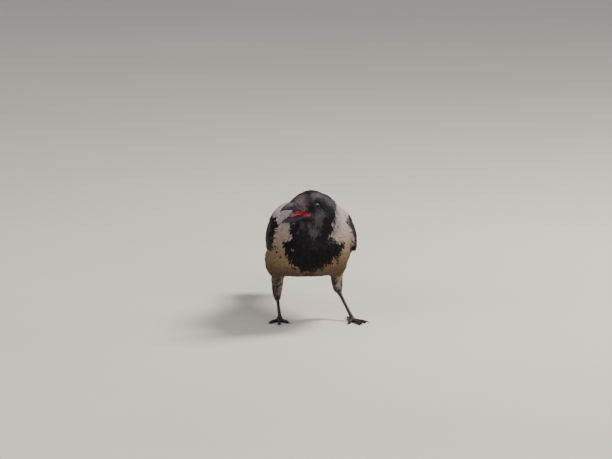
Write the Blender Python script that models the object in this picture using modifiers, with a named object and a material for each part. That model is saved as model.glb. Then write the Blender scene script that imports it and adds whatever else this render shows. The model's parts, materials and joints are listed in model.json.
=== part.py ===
"""Hooded crow standing on the ground, life size: metres, +Z up, the bird facing -Y with its left at +X.

The flesh (trunk, neck and head) is modelled whole from three lofts that a voxel remesh melts together,
and is then parted by two flat cuts. Everything that lies against it (wings, thighs, tail) is cut back
from a copy of it that is grown by the gap, so that the pieces meet without touching. The bill, eyes,
legs and claws are solids of their own.
"""

import math

import bmesh
import bpy
from mathutils import Matrix, Vector

# ---------------------------------------------------------------- driving dimensions

GAP = 0.0003                # left between pieces that meet
SHIFT = Vector((-0.00805, -0.0777, 0.0))  # brings the middle of the bird's box to the origin

HEAD_CENTRE = Vector((-0.014, -0.084, 0.191))   # midway between the eyes
HEAD_TURN = math.radians(49)    # towards the bird's right
HEAD_LIFT = math.radians(9)     # bill above level
JAW_OPEN = math.radians(14)     # lower mandible below its closed place
JAW_HINGE = (-0.008, -0.012)    # forward and up of the head's centre

GAPE_CORNER = 0.0062            # forward of the head's centre

EYE_RADIUS = 0.0058
EYE_PLACE = (-0.0025, 0.0158, -0.0005)  # forward, left, up

TAIL_ROOT_Y = 0.112
TAIL_TIP_Y = 0.278
TAIL_ROOT_Z = 0.131
TAIL_TIP_Z = 0.101

SHANK_RADIUS = 0.0026
HEEL_RADIUS = 0.0042
# Along the shank from its top over the heel: share of its length, radius
SHANK = [
    (-0.06, HEEL_RADIUS * 0.60), (0.0, HEEL_RADIUS), (0.10, HEEL_RADIUS), (0.25, SHANK_RADIUS * 1.1),
    (0.55, SHANK_RADIUS), (0.85, SHANK_RADIUS * 1.1), (1.0, SHANK_RADIUS * 1.35),
]
SHANK_FLATNESS = 0.9        # a shank is narrower across by this, and deeper along the bird by as much

# Along the thigh: share of the way from hip to heel, radius across, radius along the bird
THIGH = [(0.0, 0.0130, 0.0190), (0.30, 0.0115, 0.0150), (0.62, 0.0096, 0.0106), (0.88, 0.0082, 0.0088)]
# and the cuff of feathers below the heel: share of the cuff, the same radii
CUFF = [(0.2, 0.0070, 0.0072), (1.0, 0.0042, 0.0044)]

TOE_HEIGHT = 0.0019         # a toe's centre line over the ground, less than its radius, so it has a flat
TOE_RADIUS = 0.0031         # at the joint
TOE_TIP_RADIUS = 0.0022
TOE_STEPS = 5
TOE_FALL = 0.25             # share of the toe that comes down from the joint
KNUCKLES = 3
KNUCKLE_RISE = 0.0006
FOOT_BALL_RADIUS = 0.0044
FOOT_BALL_DROP = 0.0012     # below the joint
CLAW_BASE_RADIUS = 0.0016
CLAW_TIP_SHARE = 0.15       # of the base's radius
CLAW_INSIDE = 0.0016        # how far a claw starts inside its toe
CLAW_STEPS = 4
CLAW_ARCH = 0.0016
CLAW_FALL = 0.0010

NECK_CUT_POINT = Vector((0, -0.060, 0.162))     # where the neck rises from the trunk
NECK_CUT_NORMAL = Vector((0, -0.67, 0.74))
SKULL_CUT_FORWARD = -0.033  # where the skull ends, from the head's centre
SKULL_CUT_UP = 0.002
SKULL_CUT_TILT = math.radians(50)       # of the cut's normal above the head's forward line

MOUTH_FRONT = 0.0300        # forward, past the front of the head's flesh
MOUTH_HALF_WIDTH = 0.030    # wider than the head
MOUTH_ROOF = -0.0106        # up of the head's centre
MOUTH_FLOOR = -0.0110       # while the bill is shut

FLESH_VOXEL = 0.0025
FLESH_KEPT = 0.047          # share of the remeshed faces that the flesh keeps
SOFTENINGS = 8

# Trunk sections from breast to tail coverts:
# y, half width, height of the widest level, top, bottom, squareness of the upper half, of the lower half
TRUNK = [
    (-0.0900, 0.004, 0.120, 0.125, 0.115, 2.0, 2.0),
    (-0.0860, 0.024, 0.119, 0.139, 0.099, 2.0, 2.1),
    (-0.0720, 0.042, 0.117, 0.160, 0.086, 2.1, 2.3),
    (-0.0500, 0.0545, 0.113, 0.178, 0.0780, 2.15, 2.7),
    (-0.0250, 0.0605, 0.109, 0.1870, 0.0730, 2.2, 3.0),
    (0.0050, 0.0630, 0.107, 0.1895, 0.0690, 2.2, 3.2),
    (0.0350, 0.0615, 0.108, 0.1860, 0.0690, 2.15, 3.0),
    (0.0650, 0.0540, 0.113, 0.1775, 0.0760, 2.1, 2.6),
    (0.0900, 0.0430, 0.119, 0.1660, 0.0880, 2.2, 2.3),
    (0.1120, 0.0320, 0.124, 0.1540, 0.1000, 2.1, 2.1),
    (0.1350, 0.0230, 0.126, 0.1430, 0.1090, 2.0, 2.0),
    (0.1550, 0.0150, 0.126, 0.1350, 0.1150, 2.0, 2.0),
    (0.1640, 0.0050, 0.125, 0.1290, 0.1200, 2.0, 2.0),
]
SWAY = 0.0080               # how far the belly hangs over towards the leg that carries the bird
SWAY_TOP = 0.125
SWAY_DEPTH = 0.038

# Where each thigh swells under the flank: centre, radii
HAUNCHES = [
    ((0.0360, 0.008, 0.0890), (0.0180, 0.036, 0.0230)),
    ((-0.0485, 0.012, 0.0910), (0.0210, 0.038, 0.0260)),
]

# Neck sections from inside the trunk to inside the head: centre, radius across, radius along the bird
NECK = [
    ((0.000, -0.028, 0.132), 0.044, 0.044),
    ((0.000, -0.048, 0.152), 0.041, 0.041),
    ((0.003, -0.060, 0.170), 0.0370, 0.0350),
    ((0.000, -0.068, 0.184), 0.0290, 0.0280),
    ((-0.006, -0.075, 0.192), 0.0170, 0.0160),
]

# Head sections in the head's own frame, from nape to bill:
# forward, half width, height of the widest level, top, bottom, upper squareness, lower squareness
HEAD = [
    (-0.0370, 0.0040, 0.0000, 0.0050, -0.0060, 2.0, 2.0),
    (-0.0330, 0.0135, -0.0020, 0.0140, -0.0170, 2.0, 2.0),
    (-0.0230, 0.0195, -0.0050, 0.0210, -0.0250, 2.1, 2.1),
    (-0.0110, 0.0218, -0.0070, 0.0230, -0.0265, 2.3, 2.2),
    (-0.0020, 0.0208, -0.0080, 0.0222, -0.0255, 2.3, 2.2),
    (0.0060, 0.0182, -0.0080, 0.0200, -0.0248, 2.3, 2.2),
    (0.0120, 0.0150, -0.0078, 0.0170, -0.0243, 2.2, 2.1),
    (0.0170, 0.0120, -0.0072, 0.0138, -0.0236, 2.0, 2.0),
    (0.0200, 0.0098, -0.0070, 0.0108, -0.0230, 2.0, 2.0),
]

# Upper mandible: forward, half width, cutting edge, culmen
BILL_UPPER = [
    (0.0170, 0.0088, -0.0105, 0.0045),
    (0.0260, 0.0075, -0.0098, 0.0040),
    (0.0350, 0.0060, -0.0095, 0.0020),
    (0.0430, 0.0044, -0.0098, -0.0012),
    (0.0500, 0.0027, -0.0108, -0.0055),
    (0.0545, 0.0014, -0.0122, -0.0096),
    (0.0570, 0.0003, -0.0138, -0.0130),
]

# Lower mandible while shut: forward, half width, underside, cutting edge
BILL_LOWER = [
    (0.0150, 0.0080, -0.0190, -0.0098),
    (0.0240, 0.0068, -0.0190, -0.0098),
    (0.0330, 0.0055, -0.0182, -0.0102),
    (0.0410, 0.0041, -0.0168, -0.0110),
    (0.0490, 0.0022, -0.0155, -0.0128),
    (0.0550, 0.0004, -0.0153, -0.0149),
]

# The mat of stiff feathers over the base of the culmen: forward, half width, widest level, top, bottom
BRISTLES = [
    (0.0150, 0.0120, -0.0020, 0.0150, -0.0080),
    (0.0200, 0.0110, -0.0012, 0.0116, -0.0066),
    (0.0250, 0.0092, -0.0002, 0.0084, -0.0045),
    (0.0285, 0.0070, 0.0006, 0.0063, -0.0024),
    (0.0305, 0.0040, 0.0014, 0.0044, -0.0002),
]

# Where each mandible is widest, as a share of its height, and how square it is at its back and at its edge
BILL_UPPER_SECTION = (0.30, 1.7, 4.0)
BILL_LOWER_SECTION = (0.25, 1.8, 4.0)

# Tongue, lying in the lower jaw: forward, half width, underside, top
TONGUE = [
    (0.0095, 0.0036, -0.0100, -0.0078),
    (0.0160, 0.0042, -0.0093, -0.0064),
    (0.0260, 0.0032, -0.0095, -0.0071),
    (0.0340, 0.0010, -0.0098, -0.0088),
]

# The form that a folded wing lies on, from the bend to the tip of the primaries: y, half width, height of
# the widest level, top, lowest angle, highest angle, depth inside the form, thickness outside it
WING = [
    (-0.0420, 0.0560, 0.117, 0.1780, 4, 14, 0.0020, 0.0012),
    (-0.0360, 0.0585, 0.116, 0.1820, -1, 22, 0.0050, 0.0028),
    (-0.0180, 0.0610, 0.115, 0.1880, -3, 33, 0.0050, 0.0045),
    (0.0050, 0.0628, 0.114, 0.1895, -3, 43, 0.0050, 0.0053),
    (0.0300, 0.0615, 0.114, 0.1870, -4, 52, 0.0050, 0.0053),
    (0.0600, 0.0565, 0.116, 0.1795, -6, 64, 0.0045, 0.0049),
    (0.0900, 0.0490, 0.118, 0.1690, -8, 76, 0.0035, 0.0044),
    (0.1200, 0.0405, 0.117, 0.1560, -9, 83, 0.0025, 0.0039),
    (0.1500, 0.0320, 0.114, 0.1430, -9, 83, 0.0015, 0.0034),
    (0.1800, 0.0245, 0.110, 0.1310, -8, 80, 0.0010, 0.0028),
    (0.2100, 0.0180, 0.106, 0.1210, -4, 74, 0.0008, 0.0022),
    (0.2400, 0.0125, 0.103, 0.1130, 4, 62, 0.0006, 0.0017),
    (0.2540, 0.0100, 0.102, 0.1090, 18, 48, 0.0005, 0.0012),
]
WING_SQUARENESS = 2.08
WING_COLUMNS = 6
WING_EDGES = (0.12, 0.94)   # on the half wave of its thickness: the lower edge, and the way up from it

# Tail sections: share of the length, half width, thickness, droop of the edges
TAIL = [
    (0.00, 0.0150, 0.0060, 0.0020),
    (0.15, 0.0210, 0.0060, 0.0030),
    (0.40, 0.0265, 0.0048, 0.0045),
    (0.70, 0.0325, 0.0036, 0.0060),
    (0.88, 0.0345, 0.0026, 0.0065),
    (0.95, 0.0300, 0.0020, 0.0052),
    (0.99, 0.0190, 0.0014, 0.0024),
    (1.00, 0.0090, 0.0010, 0.0006),
]
TAIL_COLUMNS = 8
TAIL_EDGE_LOSS = 0.6        # share of the thickness that is gone at the tail's sides

# For each leg: the side (+1 left), where the toes join, the heel, the thigh's end in the body, the foot's
# turn and the share of the shank that the thigh's feathers hang over
LEGS = {
    "left": (1, (0.0605, 0.001, 0.0062), (0.0430, 0.036, 0.0430), (0.0360, 0.006, 0.0960), 14, 0.10),
    "right": (-1, (-0.0470, 0.011, 0.0062), (-0.0475, 0.054, 0.0350), (-0.0485, 0.014, 0.0960), 4, 0.24),
}

# For each toe: its name, its turn from straight ahead (outwards positive), its length, the claw's length
TOES = [
    ("inner", -27, 0.0250, 0.0100),
    ("middle", 2, 0.0350, 0.0120),
    ("outer", 31, 0.0270, 0.0095),
    ("hind", 178, 0.0185, 0.0135),
]

HEAD_FRAME = (
    Matrix.Translation(HEAD_CENTRE)
    @ Matrix.Rotation(-HEAD_TURN, 4, "Z")
    @ Matrix.Rotation(-HEAD_LIFT, 4, "X")
)

# ---------------------------------------------------------------- general helpers


def start_scene():
    for obj in list(bpy.data.objects):
        bpy.data.objects.remove(obj)
    crow = bpy.data.collections.new("hooded_crow")
    helpers = bpy.data.collections.new("cutters")
    bpy.context.scene.collection.children.link(crow)
    bpy.context.scene.collection.children.link(helpers)
    return crow, helpers


def finish_of(name, colour, roughness, metallic=0.0):
    material = bpy.data.materials.new(name)
    material.use_nodes = True
    shader = material.node_tree.nodes["Principled BSDF"]
    shader.inputs["Base Color"].default_value = (*colour, 1)
    shader.inputs["Roughness"].default_value = roughness
    shader.inputs["Metallic"].default_value = metallic
    return material


def refine(rows, steps):
    """The rows with steps - 1 more between each two, on a Catmull-Rom curve through every column."""
    made = []
    for i in range(len(rows) - 1):
        before = rows[max(i - 1, 0)]
        after = rows[min(i + 2, len(rows) - 1)]
        for step in range(steps):
            t = step / steps
            made.append(tuple(
                0.5 * (2 * b + (c - a) * t + (2 * a - 5 * b + 4 * c - d) * t * t
                       + (3 * b - a - 3 * c + d) * t ** 3)
                for a, b, c, d in zip(before, rows[i], rows[i + 1], after)
            ))
    return made + [tuple(rows[-1])]


def power(value, exponent):
    return math.copysign(abs(value) ** exponent, value)


def oval(half_width, level, top, bottom, squareness_up, squareness_down, sides):
    """Points (across, up) of a section, widest at level, and rounder or squarer above and below it."""
    points = []
    for k in range(sides):
        angle = math.tau * k / sides
        upper = math.sin(angle) >= 0
        exponent = 2 / (squareness_up if upper else squareness_down)
        reach = top - level if upper else level - bottom
        points.append((
            half_width * power(math.cos(angle), exponent),
            level + reach * power(math.sin(angle), exponent),
        ))
    return points


def loft(name, rings):
    """A closed mesh through rings of points that all have the same number, with its two ends filled."""
    mesh = bpy.data.meshes.new(name)
    shape = bmesh.new()
    rows = [[shape.verts.new(point) for point in ring] for ring in rings]
    sides = len(rings[0])
    for first, second in zip(rows, rows[1:]):
        for k in range(sides):
            after = (k + 1) % sides
            shape.faces.new((first[k], first[after], second[after], second[k]))
    shape.faces.new(rows[0][::-1])
    shape.faces.new(rows[-1])
    bmesh.ops.recalc_face_normals(shape, faces=shape.faces)
    shape.to_mesh(mesh)
    shape.free()
    return mesh


def tube(name, path, radii, sides=10):
    """A loft of round sections along a path, each (across, along the other way) in radius."""
    points = [Vector(point) for point in path]
    rings = []
    side = Vector((1, 0, 0))
    for i, point in enumerate(points):
        ahead = (points[min(i + 1, len(points) - 1)] - points[max(i - 1, 0)]).normalized()
        side = (side - ahead * side.dot(ahead)).normalized()
        other = ahead.cross(side)
        across, along = radii[i]
        rings.append([
            point + side * across * math.cos(math.tau * k / sides)
            + other * along * math.sin(math.tau * k / sides)
            for k in range(sides)
        ])
    return loft(name, rings)


def add_piece(name, mesh, collection, material=None):
    piece = bpy.data.objects.new(name, mesh)
    collection.objects.link(piece)
    if material:
        mesh.materials.clear()
        mesh.materials.append(material)
    if collection is CUTTERS:
        piece.hide_render = True
        piece.display_type = "WIRE"
    return piece


def modified_mesh(piece, name):
    """The piece's mesh as its modifiers leave it."""
    bpy.context.view_layer.update()
    graph = bpy.context.evaluated_depsgraph_get()
    mesh = bpy.data.meshes.new_from_object(piece.evaluated_get(graph))
    mesh.name = name
    return mesh


def boolean(piece, other, operation="DIFFERENCE"):
    modifier = piece.modifiers.new(operation.lower(), "BOOLEAN")
    modifier.operation = operation
    modifier.object = other
    modifier.solver = "EXACT"
    return modifier


def grown(mesh, name, by=GAP):
    """A cutter: a copy of the mesh with each face moved out by a distance."""
    cutter = add_piece(name, mesh.copy(), CUTTERS)
    push = cutter.modifiers.new("grow", "DISPLACE")
    push.strength = by
    push.mid_level = 0
    cutter.data = modified_mesh(cutter, name)
    cutter.modifiers.clear()
    return cutter


def one_side(mesh, name, point, normal):
    """The part of a closed mesh on the side of a plane that the normal points to, closed again."""
    kept = bmesh.new()
    kept.from_mesh(mesh)
    cut = bmesh.ops.bisect_plane(
        kept,
        geom=kept.verts[:] + kept.edges[:] + kept.faces[:],
        plane_co=point,
        plane_no=normal,
        dist=1e-7,
        clear_inner=True,
    )
    rim = [item for item in cut["geom_cut"] if isinstance(item, bmesh.types.BMEdge)]
    bmesh.ops.triangle_fill(kept, edges=rim, use_beauty=True, use_dissolve=False)
    bmesh.ops.recalc_face_normals(kept, faces=kept.faces)
    half = bpy.data.meshes.new(name)
    kept.to_mesh(half)
    kept.free()
    return half


def shade(mesh, sharpest=50):
    mesh.shade_smooth()
    mesh.set_sharp_from_angle(angle=math.radians(sharpest))


# ---------------------------------------------------------------- flesh


def head_point(forward, left, up):
    return HEAD_FRAME @ Vector((left, -forward, up))


def swayed(x, z):
    """How far across a point of the trunk lies once the belly has swung to the bird's right."""
    share = min(1, max(0, (SWAY_TOP - z) / SWAY_DEPTH))
    return x - SWAY * share * share * (3 - 2 * share)


def trunk_mesh():
    rings = [
        [Vector((swayed(x, z), y, z)) for x, z in oval(*shape, 28)]
        for y, *shape in refine(TRUNK, 3)
    ]
    return loft("trunk_form", rings)


def neck_mesh():
    rows = refine([(*centre, across, along) for centre, across, along in NECK], 3)
    return tube("neck_form", [row[:3] for row in rows], [row[3:] for row in rows], 28)


def head_mesh():
    rings = [
        [head_point(forward, left, up) for left, up in oval(*shape, 28)]
        for forward, *shape in refine(HEAD, 3)
    ]
    return loft("head_form", rings)


def flesh_mesh():
    """Trunk, neck and head melted into one smooth closed surface."""
    whole = bmesh.new()
    for mesh in (trunk_mesh(), neck_mesh(), head_mesh()):
        whole.from_mesh(mesh)
    for centre, radii in HAUNCHES:
        place = Matrix.Translation(centre) @ Matrix.Diagonal((*radii, 1))
        bmesh.ops.create_uvsphere(whole, u_segments=28, v_segments=16, radius=1, matrix=place)
    joined = bpy.data.meshes.new("flesh_forms")
    whole.to_mesh(joined)
    whole.free()
    flesh = add_piece("flesh_forms", joined, CUTTERS)
    melt = flesh.modifiers.new("melt", "REMESH")
    melt.mode = "VOXEL"
    melt.voxel_size = FLESH_VOXEL
    soften = flesh.modifiers.new("soften", "SMOOTH")
    soften.factor = 0.5
    soften.iterations = SOFTENINGS
    thin = flesh.modifiers.new("thin", "DECIMATE")
    thin.ratio = FLESH_KEPT
    return modified_mesh(flesh, "flesh")


def part_flesh(flesh):
    """Trunk, neck and head, parted by a cut at the base of the neck and one behind the skull."""
    base_normal = NECK_CUT_NORMAL.normalized()
    skull_point = head_point(SKULL_CUT_FORWARD, 0, SKULL_CUT_UP)
    skull_normal = head_point(math.cos(SKULL_CUT_TILT), 0, math.sin(SKULL_CUT_TILT)) - HEAD_CENTRE
    half_gap = GAP / 2
    trunk = one_side(flesh, "trunk", NECK_CUT_POINT - base_normal * half_gap, -base_normal)
    above = one_side(flesh, "above", NECK_CUT_POINT + base_normal * half_gap, base_normal)
    neck = one_side(above, "neck", skull_point - skull_normal * half_gap, -skull_normal)
    head = one_side(above, "head", skull_point + skull_normal * half_gap, skull_normal)
    return trunk, neck, head


# ---------------------------------------------------------------- head pieces


def shut_jaw_point(forward, left, up):
    """A point of the lower jaw, turned about the jaw's hinge from where it is with the bill shut."""
    hinge = Vector((0, -JAW_HINGE[0], JAW_HINGE[1]))
    turned = Matrix.Rotation(JAW_OPEN, 3, "X") @ (Vector((left, -forward, up)) - hinge)
    return HEAD_FRAME @ (turned + hinge)


def upper_bill_mesh():
    rings = []
    widest, back, cut = BILL_UPPER_SECTION
    for forward, half_width, edge, culmen in refine(BILL_UPPER, 2):
        section = oval(half_width, edge + widest * (culmen - edge), culmen, edge, back, cut, 14)
        rings.append([head_point(forward, left, up) for left, up in section])
    return loft("bill_upper", rings)


def lower_bill_mesh():
    rings = []
    widest, back, cut = BILL_LOWER_SECTION
    for forward, half_width, under, edge in refine(BILL_LOWER, 2):
        section = oval(half_width, edge + widest * (under - edge), edge, under, cut, back, 12)
        rings.append([shut_jaw_point(forward, left, up) for left, up in section])
    return loft("bill_lower", rings)


def bristles_mesh():
    """The mat of stiff feathers that lies forward over the base of the culmen."""
    rings = [
        [head_point(forward, left, up) for left, up in oval(half, level, top, low, 2, 2, 14)]
        for forward, half, level, top, low in refine(BRISTLES, 2)
    ]
    return loft("nasal_bristles", rings)


def tongue_mesh():
    rings = []
    for forward, half_width, low, top in refine(TONGUE, 2):
        section = oval(half_width, (low + top) / 2, top, low, 2, 2, 10)
        rings.append([shut_jaw_point(forward, left, up) for left, up in section])
    return loft("tongue", rings)


def mouth_cutter_mesh():
    """The wedge of the open mouth inside the head, from the corner of the gape forwards."""
    rings = []
    for left in (-MOUTH_HALF_WIDTH, MOUTH_HALF_WIDTH):
        rings.append([
            head_point(GAPE_CORNER, left, MOUTH_ROOF),
            head_point(MOUTH_FRONT, left, MOUTH_ROOF),
            shut_jaw_point(MOUTH_FRONT, left, MOUTH_FLOOR),
            shut_jaw_point(GAPE_CORNER, left, MOUTH_FLOOR),
        ])
    return loft("mouth_cutter", rings)


def ball_mesh(name, centre, radius, segments, rings, poles_along=None):
    mesh = bpy.data.meshes.new(name)
    ball = bmesh.new()
    turn = Matrix.Identity(4)
    if poles_along is not None:
        turn = poles_along.to_track_quat("Z", "Y").to_matrix().to_4x4()
    bmesh.ops.create_uvsphere(
        ball, u_segments=segments, v_segments=rings, radius=radius,
        matrix=Matrix.Translation(centre) @ turn,
    )
    ball.to_mesh(mesh)
    ball.free()
    return mesh


def add_head_pieces(head):
    upper = upper_bill_mesh()
    lower = lower_bill_mesh()
    piece = add_piece("head", head, CROW, MATERIALS["black feathers"])
    boolean(piece, add_piece("mouth_cutter", mouth_cutter_mesh(), CUTTERS))
    upper_room = grown(upper, "upper_bill_room")
    lower_room = grown(lower, "lower_bill_room")
    boolean(piece, upper_room)
    boolean(piece, lower_room)
    for side_name, side in (("left", 1), ("right", -1)):
        forward, left, up = EYE_PLACE
        centre = head_point(forward, side * left, up)
        outward = centre - head_point(forward, 0, up)
        socket = ball_mesh(f"socket_{side_name}", centre, EYE_RADIUS + GAP, 12, 8, outward)
        boolean(piece, add_piece(f"socket_{side_name}", socket, CUTTERS))
        eye = ball_mesh(f"eye_{side_name}", centre, EYE_RADIUS, 12, 8, outward)
        add_piece(f"eye_{side_name}", eye, CROW, MATERIALS["eye"])
    add_piece("bill_upper", upper, CROW, MATERIALS["horn"])
    add_piece("bill_lower", lower, CROW, MATERIALS["horn"])
    tuft = add_piece("nasal_bristles", bristles_mesh(), CROW, MATERIALS["black feathers"])
    boolean(tuft, upper_room)
    boolean(tuft, grown(modified_mesh(piece, "head_now"), "head_room"))
    add_piece("tongue", tongue_mesh(), CROW, MATERIALS["mouth"])


# ---------------------------------------------------------------- wings and tail


def wing_mesh(side):
    """One folded wing as a curved plate over the body, from its bend to the tips of the primaries."""
    low_edge, way_up = WING_EDGES
    rings = []
    for y, half_width, level, top, lowest, highest, depth, thickness in refine(WING, 2):
        outer = []
        inner = []
        for k in range(WING_COLUMNS + 1):
            share = k / WING_COLUMNS
            angle = math.radians(lowest + (highest - lowest) * share)
            direction = Vector((math.cos(angle) * (top - level), 0, math.sin(angle) * half_width))
            direction.normalize()
            form = Vector((
                side * half_width * power(math.cos(angle), 2 / WING_SQUARENESS),
                y,
                level + (top - level) * power(math.sin(angle), 2 / WING_SQUARENESS),
            ))
            outward = Vector((side * direction.x, 0, direction.z))
            fullness = math.sin(math.pi * min(1.0, low_edge + share * way_up)) ** 0.5
            outer.append(form + outward * (GAP + thickness * fullness))
            inner.append(form - outward * depth)
        rings.append(outer + inner[::-1])
    return loft("wing", rings)


def tail_mesh():
    """The shut tail: a thin plate, roofed across and rounded at its end."""
    rings = []
    for share, half_width, thickness, droop in refine(TAIL, 2):
        y = TAIL_ROOT_Y + share * (TAIL_TIP_Y - TAIL_ROOT_Y)
        z = TAIL_ROOT_Z + share * (TAIL_TIP_Z - TAIL_ROOT_Z)
        upper = []
        lower = []
        for k in range(TAIL_COLUMNS + 1):
            place = 2 * k / TAIL_COLUMNS - 1
            height = z - droop * place * place
            half_thickness = 0.5 * thickness * (1 - TAIL_EDGE_LOSS * place * place)
            upper.append(Vector((place * half_width, y, height + half_thickness)))
            lower.append(Vector((place * half_width, y, height - half_thickness)))
        rings.append(upper + lower[::-1])
    return loft("tail", rings)


# ---------------------------------------------------------------- legs


def toe_path(start, heading, length):
    """A toe's centre line along the ground: down from the joint, then level, a little knuckled."""
    points = []
    for step in range(TOE_STEPS + 1):
        share = step / TOE_STEPS
        knuckle = KNUCKLE_RISE * abs(math.sin(KNUCKLES * math.pi * share))
        level = TOE_HEIGHT + (start.z - TOE_HEIGHT) * max(0, 1 - share / TOE_FALL) ** 2
        points.append(Vector((start.x, start.y, level + knuckle)) + heading * length * share)
    return points


def foot_heading(side, foot_turn, toe_turn):
    angle = math.radians(side * (foot_turn + toe_turn))
    return Vector((math.sin(angle), -math.cos(angle), 0))


def claw_path(start, heading, length):
    """A claw's centre line: out of the toe, up over its arch and down to the point."""
    points = []
    for step in range(CLAW_STEPS + 1):
        share = step / CLAW_STEPS
        rise = CLAW_ARCH * math.sin(math.pi * min(1, share * 1.15)) - CLAW_FALL * share * share
        points.append(start + heading * length * share + Vector((0, 0, rise)))
    return points


def add_leg(side_name, trunk_room):
    side, toe_joint, heel, hip, foot_turn, cuff = LEGS[side_name]
    toe_joint, heel, hip = Vector(toe_joint), Vector(heel), Vector(hip)

    shank_path = [heel.lerp(toe_joint, share) for share, _ in SHANK]
    shank_radii = [(radius * SHANK_FLATNESS, radius / SHANK_FLATNESS) for _, radius in SHANK]
    shank = tube(f"shank_{side_name}", shank_path, shank_radii, 10)
    shank_room = grown(shank, f"shank_room_{side_name}")
    add_piece(f"shank_{side_name}", shank, CROW, MATERIALS["leg scales"])

    thigh_path = [hip.lerp(heel, share) for share, *_ in THIGH]
    thigh_path += [heel.lerp(toe_joint, cuff * share) for share, *_ in CUFF]
    thigh = tube(f"thigh_{side_name}", thigh_path, [radii for _, *radii in THIGH + CUFF], 14)
    thigh_piece = add_piece(f"thigh_{side_name}", thigh, CROW, MATERIALS["black feathers"])
    boolean(thigh_piece, trunk_room)
    boolean(thigh_piece, shank_room)

    ball = ball_mesh("ball", toe_joint - Vector((0, 0, FOOT_BALL_DROP)), FOOT_BALL_RADIUS, 10, 6)
    foot = add_piece(f"ball_{side_name}", ball, CUTTERS)
    for toe_name, toe_turn, length, claw_length in TOES:
        heading = foot_heading(side, foot_turn, toe_turn)
        line = toe_path(toe_joint, heading, length)
        thinning = (TOE_RADIUS - TOE_TIP_RADIUS) / TOE_STEPS
        radii = [(TOE_RADIUS - thinning * step,) * 2 for step in range(TOE_STEPS + 1)]
        toe = add_piece(f"toe_{toe_name}_{side_name}", tube("toe", line, radii, 7), CUTTERS)
        boolean(foot, toe, "UNION")
        claw_start = line[-1] - heading * CLAW_INSIDE
        claw_start.z = max(claw_start.z, CLAW_BASE_RADIUS + 0.0004)
        claw_line = claw_path(claw_start, heading, claw_length)
        claw_radii = [
            (CLAW_BASE_RADIUS * (1 - (1 - CLAW_TIP_SHARE) * (step / CLAW_STEPS) ** 1.2),) * 2
            for step in range(CLAW_STEPS + 1)
        ]
        claw = tube("claw", claw_line, claw_radii, 6)
        boolean(foot, grown(claw, "claw_room"))
        add_piece(f"claw_{toe_name}_{side_name}", claw, CROW, MATERIALS["horn"])
    boolean(foot, shank_room)
    whole = modified_mesh(foot, "foot")
    flat = one_side(whole, f"foot_{side_name}", Vector((0, 0, 0)), Vector((0, 0, 1)))
    add_piece(f"foot_{side_name}", flat, CROW, MATERIALS["leg scales"])


# ---------------------------------------------------------------- the crow


def build():
    flesh = flesh_mesh()
    trunk, neck, head = part_flesh(flesh)
    flesh_room = grown(flesh, "flesh_room")

    tail = tail_mesh()
    tail_room = grown(tail, "tail_room")
    trunk_piece = add_piece("trunk", trunk, CROW, MATERIALS["grey feathers"])
    boolean(trunk_piece, tail_room)
    add_piece("tail", tail, CROW, MATERIALS["black feathers"])

    add_piece("neck", neck, CROW, MATERIALS["black feathers"])
    add_head_pieces(head)

    for side_name, side in (("left", 1), ("right", -1)):
        wing = add_piece(f"wing_{side_name}", wing_mesh(side), CROW, MATERIALS["black feathers"])
        boolean(wing, flesh_room)
        boolean(wing, tail_room)
        add_leg(side_name, flesh_room)

    for piece in CROW.objects:
        piece.location = SHIFT
        shade(piece.data)
    for cutter in CUTTERS.objects:
        cutter.location = SHIFT


CROW, CUTTERS = start_scene()
MATERIALS = {
    "black feathers": finish_of("black feathers", (0.012, 0.012, 0.015), 0.45),
    "grey feathers": finish_of("grey feathers", (0.30, 0.27, 0.25), 0.85),
    "horn": finish_of("horn", (0.015, 0.015, 0.018), 0.35),
    "leg scales": finish_of("leg scales", (0.020, 0.019, 0.021), 0.50),
    "eye": finish_of("eye", (0.010, 0.006, 0.004), 0.05),
    "mouth": finish_of("mouth", (0.55, 0.10, 0.12), 0.40),
}
build()
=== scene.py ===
# %% [markdown]
# # A hooded crow, life size
# The solids of the crow come in already packed: trunk, neck, head, bill, eyes, wings, tail, thighs,
# shanks, feet and claws. This lesson dresses them: one skin, some six thousand small feathers that lie
# along the body, the quills of the wings and the tail, and finer horn, scales and eyes. Lengths that a
# person would measure are written in millimetres and turned to metres once.

# %% Setting up
import json
import math

import bpy
import numpy as np
from mathutils import Matrix, Vector
from mathutils.bvhtree import BVHTree
from mathutils.kdtree import KDTree

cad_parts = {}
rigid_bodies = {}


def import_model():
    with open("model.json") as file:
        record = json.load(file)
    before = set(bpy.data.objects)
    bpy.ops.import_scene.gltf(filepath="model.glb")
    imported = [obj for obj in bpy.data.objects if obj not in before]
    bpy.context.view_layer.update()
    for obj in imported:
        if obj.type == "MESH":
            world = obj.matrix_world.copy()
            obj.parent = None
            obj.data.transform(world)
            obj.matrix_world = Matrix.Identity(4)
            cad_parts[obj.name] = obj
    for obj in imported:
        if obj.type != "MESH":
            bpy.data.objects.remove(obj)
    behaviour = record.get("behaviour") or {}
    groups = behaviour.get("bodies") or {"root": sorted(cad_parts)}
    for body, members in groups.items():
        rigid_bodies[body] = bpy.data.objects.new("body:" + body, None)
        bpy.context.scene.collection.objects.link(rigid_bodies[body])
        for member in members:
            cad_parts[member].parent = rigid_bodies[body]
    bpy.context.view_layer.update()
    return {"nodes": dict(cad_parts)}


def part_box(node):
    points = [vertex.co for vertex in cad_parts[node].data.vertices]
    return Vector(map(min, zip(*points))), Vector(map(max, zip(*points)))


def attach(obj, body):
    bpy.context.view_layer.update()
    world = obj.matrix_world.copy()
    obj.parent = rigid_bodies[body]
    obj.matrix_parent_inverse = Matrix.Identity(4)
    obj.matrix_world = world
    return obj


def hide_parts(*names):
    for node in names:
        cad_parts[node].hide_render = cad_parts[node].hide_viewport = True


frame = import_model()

MM = 0.001
nodes = frame["nodes"]
chance = np.random.default_rng(7)

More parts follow.
